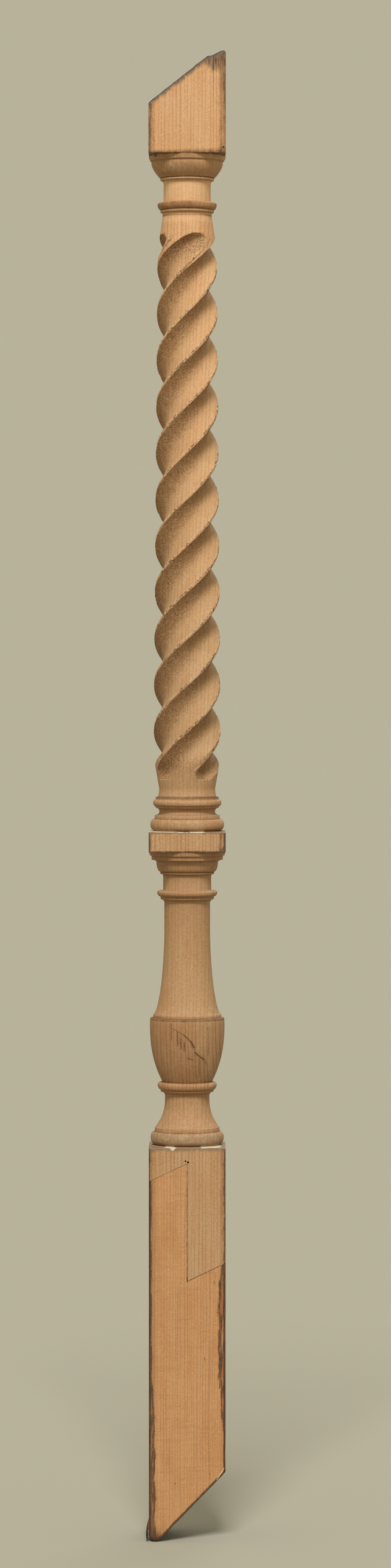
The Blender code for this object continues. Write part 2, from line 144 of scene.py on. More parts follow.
def feed(tree: NodeTree, socket: NodeSocket, value: Value) -> None:
    """Link a socket to a signal, or set its plain value.

    Args:
        tree: The tree that the socket is in.
        socket: The input.
        value: What goes in.
    """
    if isinstance(value, Signal):
        tree.links.new(value.socket, socket)
    else:
        socket.default_value = value


def add_node(tree: NodeTree, kind: str, *values: Value, out: int = 0, **settings) -> Signal:
    """Add a node, feed its inputs in order and give one output.

    Args:
        tree: The tree that it goes into.
        kind: The node's type.
        *values: What its inputs get, in order.
        out: Which output is wanted.
        **settings: The node's own settings.

    Returns:
        The output.
    """
    node = tree.nodes.new(kind)
    for name, setting in settings.items():
        setattr(node, name, setting)
    for socket, value in zip(node.inputs, values):
        feed(tree, socket, value)
    return Signal(tree, node.outputs[out])


class Painter:
    """Mixes colours and patterns in one material's tree."""

    SHEEN: ClassVar[float] = 0.28

    def __init__(self, name: str) -> None:
        """Start an empty material.

        Args:
            name: The material's name.
        """
        self.material = bpy.data.materials.new(name)
        self.material.use_nodes = True
        self.tree = self.material.node_tree
        self.shader = self.tree.nodes["Principled BSDF"]
        place = self.node("ShaderNodeTexCoord", out=3)
        split = self.tree.nodes.new("ShaderNodeSeparateXYZ")
        self.tree.links.new(place.socket, split.inputs[0])
        self.x, self.y, self.z = (Signal(self.tree, output) for output in split.outputs)
        self.colour: Value = (1.0, 1.0, 1.0, 1.0)

    def node(self, kind: str, *values: Value, out: int = 0, **settings) -> Signal:
        """Add a node to the material's tree, as add_node does."""
        return add_node(self.tree, kind, *values, out=out, **settings)

    def mask(self, name: str) -> Signal:
        """A mask that the mesh carries."""
        return self.node("ShaderNodeAttribute", out=2, attribute_name=name)

    def bands(self, place: Signal, rate: float, detail: float) -> Signal:
        """Noise along one measure only."""
        return self.node("ShaderNodeTexNoise", (0.0, 0.0, 0.0), place, rate, detail, noise_dimensions="1D")

    def noise(self, size: Point, detail: float = 2.0, rough: float = 0.5, shift: float = 0.0) -> Signal:
        """Noise in the wood, from 0 to 1.

        Args:
            size: How long a speck is across the grain and along it.
            detail: How many finer layers it has.
            rough: How strong those are.
            shift: A number that picks the pattern.

        Returns:
            The noise.
        """
        across, along = size
        spot = self.node("ShaderNodeCombineXYZ", self.x / across + shift, self.y / across, self.z / along)
        return self.node("ShaderNodeTexNoise", spot, 0.0, 1.0, detail, rough)

    def mix(self, share: Value, under: Value, over: Value, blend: str = "MIX") -> Signal:
        """One colour over another.

        Args:
            share: How much of the upper colour shows.
            under: The lower colour.
            over: The upper colour.
            blend: How they mix.

        Returns:
            The mixed colour.
        """
        node = self.tree.nodes.new("ShaderNodeMix")
        node.data_type = "RGBA"
        node.blend_type = blend
        for index, value in ((0, share), (6, under), (7, over)):
            feed(self.tree, node.inputs[index], value)
        return Signal(self.tree, node.outputs[2])

    def coat(self, share: Value, over: Value, blend: str = "MIX") -> None:
        """Lay one more colour over the material's own."""
        self.colour = self.mix(share, self.colour, over, blend)

    def line(self, start: Point, end: Point, wander: Value) -> Signal:
        """How far a point is from a line drawn on the front.

        Args:
            start: The line's first end, as X and Z.
            end: Its last end.
            wander: What bends the line.

        Returns:
            The distance in metres.
        """
        run, rise = end[0] - start[0], end[1] - start[1]
        length = run * run + rise * rise
        across = self.x + wander - start[0]
        up = self.z - start[1]
        share = ((across * run + up * rise) / length).clamp()
        off_x = across - share * run
        off_z = up - share * rise
        return (off_x * off_x + off_z * off_z).do("SQRT")

    def finish(self, rough: Signal, relief: Signal, depth: float) -> Material:
        """Join the colour, roughness and relief to the shader.

        Args:
            rough: The roughness.
            relief: The height of the surface, from 0 to 1.
            depth: How deep the relief is, in metres.

        Returns:
            The material.
        """
        bump = self.tree.nodes.new("ShaderNodeBump")
        bump.inputs["Distance"].default_value = depth
        feed(self.tree, bump.inputs["Height"], relief)
        feed(self.tree, self.shader.inputs["Base Color"], self.colour)
        feed(self.tree, self.shader.inputs["Roughness"], rough)
        self.tree.links.new(bump.outputs[0], self.shader.inputs["Normal"])
        self.shader.inputs["Specular IOR Level"].default_value = self.SHEEN
        return self.material


@dataclass(frozen=True)
class Scarf:
    """The joint between the spindle and its newer foot.

    Attributes:
        top: Its upper end on the axis.
        length: How long its straight stretch is.
        slope: How its two shoulders rise to the right.
        gap: The glue line.
    """

    top: float = 0.2131
    length: float = 0.072
    slope: float = math.radians(25.2)
    gap: float = 0.00012

    def line(self, side: int, beyond: float) -> list[Point]:
        """The joint from left to right, half a glue line to one side.

        Args:
            side: -1 for the foot's side and 1 for the spindle's.
            beyond: How far the ends run on past the stock.

        Returns:
            Its points, as X and Z.
        """
        rise = math.tan(self.slope)
        shift_x = side * self.gap / 2
        shift_z = shift_x * (1 + math.sin(self.slope)) / math.cos(self.slope)
        reach = HALF_STOCK + beyond
        top = self.top + shift_z
        foot = self.top - self.length + shift_z
        return [
            (-reach, top - (reach + shift_x) * rise),
            (shift_x, top),
            (shift_x, foot),
            (reach, foot + (reach - shift_x) * rise),
        ]

    def trim(self, piece: Object, side: int) -> None:
        """Cut a piece off at the joint.

        Args:
            piece: The piece.
            side: -1 for the foot and 1 for the spindle.
        """
        joint = self.line(side, beyond=0.006)
        end = 0.1 if side > 0 else 0.25
        outline = joint + [(joint[-1][0], end), (joint[0][0], end)]
        cut(piece, slab("scarf_cutter", outline[::-side], -0.03, 0.03))

    def paint(self, paint: Painter, dirt: Colour) -> None:
        """Draw the dirt that has settled along the joint.

        Args:
            paint: The material's painter.
            dirt: The dirt's colour.
        """
        wander = (paint.noise((0.0012, 0.004), 3.0, 0.7, shift=31.0) - 0.5) * 0.0009
        broken = paint.noise((0.002, 0.003), 2.0, 0.6, shift=33.0).ease(0.3, 0.6) * 0.6 + 0.3
        corners = self.line(side=0, beyond=0.0)
        for start, end, strength in zip(corners, corners[1:], (0.32, 0.85, 0.55)):
            near = paint.line(start, end, wander).ease(0.00055, 0.00015)
            paint.coat(near * broken * strength, dirt)


@dataclass(frozen=True)
class Grain:
    """Softwood, with its growth rings round a pith that lies far off to one side.

    Attributes:
        early: The pale wood.
        late: The dark line at each ring's end.
        warm: The wood in its warmer patches.
        spacing: From ring to ring.
        pith: Where the pith stands, as X and Y.
        line: How strong the dark lines are.
        streak: How strong the fine streaks are.
        mottle: How strong the small cross marks are.
        tooth: How strong the finest specks are.
        pale: The small marks that are paler than the wood.
    """

    early: Colour
    late: Colour
    warm: Colour
    spacing: float
    pith: Point
    line: float = 0.54
    streak: float = 0.18
    mottle: float = 0.2
    tooth: float = 0.34
    pale: Colour = tone(232, 200, 160)

    def paint(self, paint: Painter, boost: Signal | float = 1.0) -> Signal:
        """Lay the grain into a material.

        Args:
            paint: The material's painter.
            boost: How much stronger the dark lines are here.

        Returns:
            The relief.
        """
        sway = (paint.noise((0.03, 0.16), 1.0) - 0.5) * 0.0034
        jitter = (paint.noise((0.004, 0.06), 1.0, shift=7.0) - 0.5) * 0.0007
        off_x = paint.x - self.pith[0] + sway + jitter
        off_y = paint.y - self.pith[1]
        radius = (off_x * off_x + off_y * off_y).do("SQRT")
        turn = (radius / self.spacing + paint.bands(radius, 180.0, 1.0) * 1.3).do("FRACT")
        late = turn.ease(0.42, 0.86) * turn.ease(1.0, 0.88)
        strength = paint.noise((0.005, 0.06), 2.0, shift=3.0).ease(0.3, 0.7) * 0.6 + 0.4
        fibre = paint.noise((0.00035, 0.01), 3.0, 0.6)
        mottle = paint.noise((0.001, 0.0008), 3.0, 0.65, shift=13.0)
        tooth = paint.noise((0.00055, 0.0006), 2.0, 0.6, shift=41.0)
        coarse = paint.noise((0.0022, 0.03), 2.0, 0.5, shift=11.0)
        broad = paint.noise((0.011, 0.03), 3.0, 0.5, shift=5.0)
        paint.colour = self.early
        paint.coat(broad.ease(0.32, 0.7) * 0.7, self.warm)
        paint.coat((late * strength * self.line * boost).clamp(), self.late)
        paint.coat(coarse.ease(0.48, 0.75) * self.streak, self.late)
        paint.coat(fibre.ease(0.52, 0.78) * self.streak, self.late)
        paint.coat(mottle.ease(0.52, 0.74) * self.mottle, self.late)
        paint.coat(mottle.ease(0.46, 0.28) * self.mottle, self.pale)
        paint.coat(tooth.ease(0.5, 0.74) * self.tooth, self.late)
        paint.coat(tooth.ease(0.5, 0.26) * self.tooth, self.pale)
        return late * 0.15 + fibre * 0.3 + mottle * 0.4 + tooth * 0.3


@dataclass(frozen=True)
class SpindleFinish:
    """The old spindle's surface: grain, lathe marks, dirt and painted shade in hollows, and the last of old
    paint.

    Attributes:
        grain: The wood.
        scarf: The joint that shows on it.
        dull: What greys the lower half.
        ochre: What warms the flutes.
        scratches: Each crack's two ends as X and Z, its width and its strength.
        spots: Each dark spot's X, Z and size.
    """

    grain: Grain
    scarf: Scarf
    dirt: Colour = tone(82, 54, 32)
    soot: Colour = tone(66, 54, 45)
    bruise_and_shade: Colour = tone(138, 96, 60)
    dull: Colour = (0.74, 0.77, 0.78, 1.0)
    clean: Colour = tone(232, 190, 142)
    worn: Colour = tone(206, 168, 130)
    bleached: Colour = tone(120, 100, 80)
    limewash: Colour = tone(218, 206, 182)
    ochre: Colour = (0.95, 1.0, 1.02, 1.0)
    ash: Colour = tone(148, 128, 104)
    slate: Colour = tone(134, 128, 122)
    scratches: tuple[tuple[Point, Point, float, float], ...] = ()
    spots: tuple[tuple[float, float, float], ...] = (
        (0.0221, 0.8312, 0.0009), (-0.0193, 0.8271, 0.001), (-0.0194, 0.8236, 0.0005),
        (-0.0133, 0.7488, 0.0007), (0.0128, 0.7451, 0.0008),
    )

    def material(self) -> Material:
        """Paint the finish.

        Returns:
            The material.
        """
        paint = Painter("aged_softwood")
        relief = self.grain.paint(paint, paint.mask("bold") * 1.6 + 0.2)
        hollow = paint.mask("hollow")
        paint.coat(hollow * 0.25, self.grain.warm)
        paint.coat(hollow, self.ochre, "MULTIPLY")
        speck = paint.noise((0.00055, 0.00085), 3.0, 0.6, shift=2.0)
        scale = paint.noise((0.0011, 0.0013), 2.0, 0.55, shift=8.0)
        blotch = paint.noise((0.003, 0.007), 3.0, 0.6, shift=9.0)
        lee = paint.mask("lee")
        crest = paint.mask("crest")
        grime = paint.mask("grime")
        sawn = paint.mask("sawn")
        lime = paint.mask("paint")
        frayed = paint.mask("frayed")
        paint.coat(paint.z.ease(0.8, 0.4), self.dull, "MULTIPLY")
        turned = paint.mask("turned")
        paint.coat(turned * paint.z.ease(0.4, 0.75) * 0.3, self.clean)
        paint.coat(paint.mask("bare") * 0.4, self.clean)
        paint.coat(paint.mask("stain") * (blotch + 0.5), self.bruise_and_shade)
        # Painted shade: brown on each flute's upper-left side, under the arris above it; the dirt pits below
        # follow the same side.
        paint.coat(lee * (0.25 + blotch * 0.55), self.bruise_and_shade)
        ends = paint.mask("ends")
        pits = (speck.ease(0.5, 0.68) * (lee * 0.85 + ends * 0.9 + hollow * 0.1 + 0.04)).clamp()
        paint.coat(ends * (0.15 + blotch * 0.35), self.bruise_and_shade)
        paint.coat(pits * 0.62, self.dirt)
        paint.coat(scale.ease(0.5, 0.68) * (lee * 0.22 + hollow * 0.1), self.bruise_and_shade)
        paint.coat(scale.ease(0.46, 0.3) * (lee * 0.12 + hollow * 0.1), self.grain.pale)
        smear = paint.noise((0.003, 0.0012), 3.0, 0.6, shift=45.0)
        paint.coat(turned * smear.ease(0.5, 0.74) * 0.2, self.bruise_and_shade)
        paint.coat(turned * smear.ease(0.46, 0.26) * 0.07, self.grain.pale)
        veil = paint.noise((0.003, 0.0022), 3.0, 0.7, shift=43.0).ease(0.44, 0.68)
        paint.coat(paint.mask("haze") * veil * 0.28, self.limewash)
        patch = paint.noise((0.009, 0.012), 2.0, 0.5, shift=27.0)
        paint.coat(crest * 0.14, self.worn)
        gaps = crest * scale.ease(0.5, 0.6) * patch.ease(0.4, 0.56)
        paint.coat(gaps * 0.6, self.dirt)
        # Painted shade: a dark line just to the lower right of each arris.
        paint.coat(paint.mask("cleft") * (blotch * 0.8 + 0.15) * 0.8, self.dirt)
        # Painted highlight: a pale broken line along the upper-left edge of each arris.
        rim = paint.mask("rim") * patch.ease(0.6, 0.46) * scale.ease(0.62, 0.44)
        paint.coat(rim * 0.28, self.limewash)
        # Painted shade and dirt in the mouldings' recesses.
        shade = (grime * (blotch + 0.55)).clamp()
        paint.coat(shade * 0.8, self.dirt)
        strand = paint.noise((0.00085, 0.0058), 3.0, 0.65, shift=17.0)
        paint.coat(frayed * (blotch * 0.4 + 0.65), self.bleached)
        paint.coat(frayed * strand.ease(0.47, 0.6) * 0.75, self.soot)
        paint.coat(frayed * strand.ease(0.41, 0.32) * 0.45, self.grain.pale)
        soot = paint.mask("soot") + (blotch - 0.5) * 1.1 + (speck - 0.5) * 0.7
        paint.coat(soot.ease(0.12, 0.7) * 0.55, self.bruise_and_shade)
        paint.coat(soot.ease(0.6, 1.05) * 0.75, self.soot)
        band = (paint.mask("saw_edge") + (blotch - 0.5) * 1.0 + (speck - 0.5) * 0.8).ease(0.35, 0.75)
        flecks = speck.ease(0.4, 0.62) * 0.55 + scale.ease(0.42, 0.64) * 0.35
        paint.coat(band * 0.85, paint.mix(flecks, self.slate, self.soot))
        paint.coat(sawn * (blotch * 0.5 + 0.45), self.soot)
        paint.coat(sawn * scale.ease(0.55, 0.7) * 0.5, self.slate)
        paint.coat(paint.mask("ledge") * (0.45 + blotch * 0.5 - speck * 0.2), self.ash)
        flake = (lime + (speck + blotch) * 0.9 - 0.9).ease(0.42, 0.62)
        paint.coat(flake * (0.95 - speck * 0.25), self.limewash)
        drip = paint.noise((0.0014, 0.006), 2.0, 0.5, shift=21.0).ease(0.42, 0.68)
        paint.coat(paint.mask("streaks") * drip * 0.34, self.limewash)
        for x, z, size in self.spots:
            off_x, off_z = paint.x - x, paint.z - z
            near = (off_x * off_x + off_z * off_z).do("SQRT") + (speck - 0.5) * size
            paint.coat(near.ease(size, size * 0.5) * paint.y.ease(-0.01, -0.014), self.soot)
        wander = (paint.noise((0.0014, 0.0024), 3.0, 0.7, shift=4.0) - 0.5) * 0.0013
        front = paint.y.ease(-0.008, -0.012)
        drawn, halo = speck * 0.0, speck * 0.0
        for start, end, width, strength in self.scratches:
            away = paint.line(start, end, wander)
            drawn = drawn.do("MAXIMUM", away.ease(width * 1.7, width * 0.5) * strength)
            halo = halo.do("MAXIMUM", away.ease(0.0022, 0.0003) * strength)
        broken = paint.noise((0.0009, 0.0014), 2.0, 0.6, shift=6.0).ease(0.3, 0.52) * 0.7 + 0.3
        paint.coat(halo * (blotch + 0.2) * front * 0.6, self.bruise_and_shade)
        paint.coat(drawn * broken * front * 0.85, self.dirt)
        lathe = paint.bands(paint.z, 1900.0, 3.0)
        paint.coat(turned * lathe.ease(0.58, 0.8) * blotch * 0.14, self.dirt)
        self.scarf.paint(paint, self.dirt)
        # Painted shade: turned surfaces that face down are darkened.
        paint.coat(paint.mask("under") * (blotch * 0.5 + 0.35), self.bruise_and_shade)
        relief = relief + lathe * turned * 0.1 - pits * 0.6 - drawn * broken * 0.8 + flake * 0.6
        relief = relief - sawn * speck * 0.8 - gaps * 0.7 + frayed * strand * 1.2 + scale * lee * 0.35
        rough = (0.6 + blotch * 0.18 + lee * 0.12 + sawn * 0.15).clamp()
        return paint.finish(rough, relief, 0.00036)


@dataclass(frozen=True)
class FootFinish:
    """The newer foot's surface: a warmer wood, with dark varnish left along its edges.

    Attributes:
        grain: The wood.
        scarf: The joint that shows on it.
        skin: The varnish where it is thin.
        tar: The varnish where it is thick.
    """

    grain: Grain
    scarf: Scarf
    varnish: Colour = tone(84, 56, 36)
    skin: Colour = tone(146, 102, 66)
    mould: Colour = tone(104, 90, 62)
    amber: Colour = tone(160, 100, 58)
    tar: Colour = tone(62, 50, 42)

    def material(self) -> Material:
        """Paint the finish.

        Returns:
            The material.
        """
        paint = Painter("foot_softwood")
        relief = self.grain.paint(paint)
        speck = paint.noise((0.00055, 0.0012), 3.0, 0.65, shift=2.0)
        blotch = paint.noise((0.0022, 0.012), 3.0, 0.6, shift=9.0)
        left = paint.mask("varnish_left")
        right = paint.mask("varnish_right")
        sawn = paint.mask("sawn")
        thread = paint.noise((0.001, 0.013), 3.0, 0.65, shift=19.0)
        ragged = (blotch - 0.5) * 1.0 + (thread - 0.5) * 1.0 + (speck - 0.5) * 0.4
        left_skin = (left + ragged).ease(0.3, 0.75)
        right_skin = (right + ragged).ease(0.3, 0.75)
        lane = paint.noise((0.0013, 0.012), 2.0, 0.6, shift=37.0)
        brown = paint.mix(thread.ease(0.43, 0.57) * 0.9, self.skin, self.tar)
        brown = paint.mix(lane.ease(0.52, 0.6) * 0.75, brown, self.amber)
        brown = paint.mix(lane.ease(0.46, 0.4) * 0.8, brown, self.tar)
        brown = paint.mix(thread.ease(0.4, 0.32) * 0.3, brown, self.grain.pale)
        paint.coat(paint.mask("rub") * (thread * 0.5 + 0.2), self.skin)
        smudge = paint.mask("smudge") * (blotch + 0.3)
        paint.coat(smudge * 0.45, self.mould)
        tip_stain = paint.mask("tip_stain")
        paint.coat(tip_stain * (blotch * 0.6 + 0.5), self.skin)
        paint.coat((tip_stain * 1.3 + ragged * 0.8 - 0.3).ease(0.35, 0.95) * 0.7, self.varnish)
        paint.coat(left_skin * 0.9, paint.mix(speck.ease(0.45, 0.6) * 0.5, brown, self.mould))
        paint.coat(right_skin * 0.92, brown)
        shore = left_skin * (1 - left_skin) + right_skin * (1 - right_skin)
        paint.coat((shore * 3.6).clamp(), self.varnish)
        outer = (paint.mask("outer") + ragged * 0.5).ease(0.4, 0.7)
        paint.coat(outer * 0.8, self.varnish)
        end_rim = (paint.mask("end_rim") + ragged * 0.5).ease(0.38, 0.68)
        paint.coat(end_rim * 0.85, paint.mix(lane.ease(0.42, 0.58), self.tar, self.varnish))
        split = paint.line((0.0182, 0.0196), (0.0224, 0.0266), (speck - 0.5) * 0.0008).ease(0.00045, 0.0001)
        paint.coat(split * paint.y.ease(-0.01, -0.014) * 0.6, self.grain.pale)
        dot = paint.line((-0.0075, 0.017), (-0.0074, 0.0172), 0.0).ease(0.0005, 0.00025)
        paint.coat(dot * paint.y.ease(-0.01, -0.014) * 0.8, self.varnish)
        paint.coat(sawn * (blotch * 0.4 + 0.5), self.varnish)
        # Darkens the splinter that stands out from the left face.
        paint.coat((paint.mask("grime") * (blotch + 0.6)).clamp(), self.tar)
        paint.coat(speck.ease(0.66, 0.76) * 0.4, self.varnish)
        chatter = paint.noise((0.016, 0.0019), 2.0, 0.5, shift=23.0)
        paint.coat(chatter.ease(0.52, 0.72) * 0.16, self.skin)
        self.scarf.paint(paint, self.varnish)
        relief = relief + left_skin * thread * 0.9 + right_skin * thread * 0.9 - sawn * speck * 0.8
        relief = relief + chatter * 0.25
        rough = (0.62 - right_skin * 0.14 + blotch * 0.15).clamp()
        return paint.finish(rough, relief, 0.0004)


class Profile(Enum):
    """The shapes that a turner cuts."""

    BAND = "a plain band"
    BEAD = "half an ellipse, standing out or hollow"
    OVOLO = "a quarter round that swells outwards"
    COVE = "a quarter hollow that flares outwards"
    SHOULDER = "a quarter round that closes inwards"
    SWEEP = "a long curve that settles into its head"


@dataclass(frozen=True)
class Moulding:
    """One moulding of the turned outline, from its lower edge up.

    Attributes:
        profile: Its shape.
        height: How tall it is.
        radius: The radius that it comes to.
        foot: The radius at its lower edge.
        bend: How fast a sweep turns.
        spread: How early a sweep turns.
    """

    profile: Profile
    height: float
    radius: float
    foot: float = 0.0
    bend: float = 2.0
    spread: float = 1.0

    def trace(self, spacing: float) -> list[Point]:
        """The moulding's outline.

        Args:
            spacing: About how far apart its points are.

        Returns:
            Its points, as rise and radius.
        """
        if self.profile is Profile.BAND:
            return [(0.0, self.radius), (self.height, self.radius)]
        reach = abs(self.radius - self.foot)
        longest = 2 * reach + self.height if self.profile is Profile.BEAD else reach + self.height
        if self.profile is Profile.SWEEP:
            longest *= SWEEP_COARSENESS
        steps = max(4, round(longest / spacing))
        return [self.at(step / steps) for step in range(steps + 1)]

    def at(self, share: float) -> Point:
        """One point of a curved moulding.

        Args:
            share: How far along it, from 0 to 1.

        Returns:
            The rise and the radius there.
        """
        reach = self.radius - self.foot
        quarter = math.pi / 2 * share
        if self.profile is Profile.BEAD:
            return self.height * (1 - math.cos(2 * quarter)) / 2, self.foot + reach * math.sin(2 * quarter)
        if self.profile is Profile.OVOLO:
            return self.height * (1 - math.cos(quarter)), self.foot + reach * math.sin(quarter)
        if self.profile in (Profile.COVE, Profile.SHOULDER):
            return self.height * math.sin(quarter), self.foot + reach * (1 - math.cos(quarter))
        gathered = share**1.3
        return self.height * gathered, self.radius - reach * (1 - gathered**self.spread) ** self.bend


def stack(*rows: tuple) -> tuple[Moulding, ...]:
    """Mouldings from rows of what each one is and its sizes."""
    return tuple(Moulding(*row) for row in rows)


class Loft:
    """Rings of points stacked into one closed skin."""

    def __init__(self) -> None:
        """Start with no rings."""
        self.points: list[Array] = []
        self.faces: list[tuple[int, ...]] = []
        self.angles = np.zeros(0)
        self.count = 0
        self.first = 0

    def pole(self, height: float) -> None:
        """Start from a point on the axis."""
        self.points.append(np.array([[0.0, 0.0, height]]))
        self.count = 1

    def ring(self, angles: Array, ring: Array) -> None:
        """Add a ring and join it to the one below.

        Args:
            angles: Where its points stand, from the front towards +X.
            ring: Its points.
        """
        start, size = self.count, len(ring)
        last = len(self.angles)
        if last == 0 and self.count == 1:
            self.faces += [(0, start + (i + 1) % size, start + i) for i in range(size)]
        elif last == size:
            first = self.first
            self.faces += [
                (first + i, first + (i + 1) % size, start + (i + 1) % size, start + i) for i in range(size)
            ]
        elif last:
            self.stitch(angles, start)
        self.points.append(ring)
        self.count += size
        self.first = start
        self.angles = angles

    def stitch(self, angles: Array, start: int) -> None:
        """Join the last ring to one with another number of points.

        Args:
            angles: The upper ring's angles.
            start: The upper ring's first index.
        """
        low, high = self.angles, angles
        shift = int(np.argmin(np.cos(high - low[0]) * -1))
        low_turn = np.append(low - low[0], 2 * math.pi)
        turned = (np.roll(high, -shift) - low[0] + math.pi) % (2 * math.pi) - math.pi
        high_turn = np.unwrap(turned)
        high_turn = np.append(high_turn, high_turn[0] + 2 * math.pi)
        i, j = 0, 0
        while i < len(low) or j < len(high):
            a = self.first + i % len(low)
            b = start + (j + shift) % len(high)
            take_low = j == len(high) or (i < len(low) and low_turn[i + 1] <= high_turn[j + 1])
            if take_low:
                self.faces.append((a, self.first + (i + 1) % len(low), b))
                i += 1
            else:
                self.faces.append((a, start + (j + 1 + shift) % len(high), b))
                j += 1

    def face(self, angles: Array, reach: Array, shares: Array, height: Height) -> None:
        """Add the rings of a sloping end.

        Args:
            angles: Where the points stand.
            reach: How far the outermost ring reaches.
            shares: Each ring's share of that reach.
            height: Gives the end's height at a point's X and Y.
        """
        for share in shares:
            points = around(angles, reach * share, 0.0)
            points[:, 2] = height(points[:, 0], points[:, 1])
            self.ring(angles, points)

    def close(self, height: float) -> None:
        """Close the top at a point on the axis.

        Args:
            height: Its height.
        """
        size = len(self.angles)
        self.faces += [(self.first + i, self.first + (i + 1) % size, self.count) for i in range(size)]
        self.points.append(np.array([[0.0, 0.0, height]]))
        self.count += 1

    def cap(self) -> None:
        """Close the bottom below the first ring with one flat face."""
        self.faces.append(tuple(reversed(range(len(self.points[0])))))

    def mesh(self, name: str) -> Mesh:
        """The skin as a mesh."""
        return new_mesh(name, np.vstack(self.points).tolist(), self.faces)


def square_angles() -> Array:
    """Angles of ring columns that gather at a square's corners.

    Returns:
        The angles, from just past the front left corner round.
    """
    half_side = [0.12, 0.24, 0.36, 0.48, 0.6, 0.71, 0.8, 0.87, 0.925, 0.962, 0.985]
    side = [-1.0, *(-share for share in reversed(half_side)), 0.0, *half_side]
    return np.array([math.atan(share) + turn * math.pi / 2 for turn in range(4) for share in side])


def square_reach(angles: Array, half: float, easing: float) -> Array:
    """How far a square of the given half width, with eased corners, reaches at each angle."""
    reach = half / np.maximum(np.abs(np.cos(angles)), np.abs(np.sin(angles)))
    return np.minimum(reach, half * math.sqrt(2) - easing)


def around(angles: Array, radii: Array, heights: Array | float) -> Array:
    """Points round the axis, one a row, with angles that run from the front towards +X."""
    return np.column_stack((radii * np.sin(angles), -radii * np.cos(angles), heights + angles * 0))


def corner_gaps(x: Array, y: Array) -> tuple[Array, Array]:
    """How far points on the square stock are from its left corners and from its right ones."""
    inward = HALF_STOCK - np.abs(y)
    return np.maximum(HALF_STOCK + x, inward), np.maximum(HALF_STOCK - x, inward)


def new_mesh(name: str, points: list, faces: list[tuple[int, ...]]) -> Mesh:
    """A mesh made of points and faces.

    Args:
        name: The mesh's name.
        points: Its points.
        faces: The indices of each face's points.

    Returns:
        The mesh.
    """
    mesh = bpy.data.meshes.new(name)
    mesh.from_pydata(points, [], faces)
    return mesh


def put(name: str, mesh: Mesh, material: Material | None = None) -> Object:
    """An object that holds a mesh, at the origin.

    Args:
        name: The object's name.
        mesh: Its mesh.
        material: Its material, if it has one.

    Returns:
        The object.
    """
    made = bpy.data.objects.new(name, mesh)
    bpy.context.scene.collection.objects.link(made)
    if material:
        mesh.materials.clear()
        mesh.materials.append(material)
    return made


def baked(target: Object) -> None:
    """Turn an object's modifiers into its mesh.

    Args:
        target: The object.
    """
    graph = bpy.context.evaluated_depsgraph_get()
    mesh = bpy.data.meshes.new_from_object(target.evaluated_get(graph))
    target.modifiers.clear()
    target.data = mesh


def cut(target: Object, cutter: Object, operation: str = "DIFFERENCE") -> None:
    """Cut or join one closed mesh by another, and remove the other.

    Args:
        target: The object that stays.
        cutter: The object that goes.
        operation: What is done.
    """
    modifier = target.modifiers.new("cut", "BOOLEAN")
    modifier.operation = operation
    modifier.solver = "MANIFOLD"
    modifier.object = cutter
    baked(target)
    bpy.data.objects.remove(cutter)


def slab(name: str, outline: list[Point], front: float, back: float) -> Object:
    """A solid with an outline in X and Z.

    Args:
        name: Its name.
        outline: Its corners, anticlockwise seen from the front.
        front: The Y of its front.
        back: The Y of its back.

    Returns:
        The solid.
    """
    size = len(outline)
    points = [(x, front, z) for x, z in outline] + [(x, back, z) for x, z in outline]
    faces = [tuple(range(size)), tuple(reversed(range(size, 2 * size)))]
    faces += [(i, size + i, size + (i + 1) % size, (i + 1) % size) for i in range(size)]
    return put(name, new_mesh(name, points, faces))


def vertex_array(mesh: Mesh, kind: str = "co") -> Array:
    """A mesh's points or normals.

    Args:
        mesh: The mesh.
        kind: What is read of each point.

    Returns:
        The values, one point a row.
    """
    values = np.empty(len(mesh.vertices) * 3)
    mesh.vertices.foreach_get(kind, values)
    return values.reshape(-1, 3)


def write_masks(mesh: Mesh, **masks: Array) -> None:
    """Store masks on a mesh.

    Args:
        mesh: The mesh.
        **masks: The value at each point, for each mask.
    """
    for name, values in masks.items():
        attribute = mesh.attributes.new(name, "FLOAT", "POINT")
        attribute.data.foreach_set("value", np.clip(values, 0.0, 1.0).astype(np.float32))


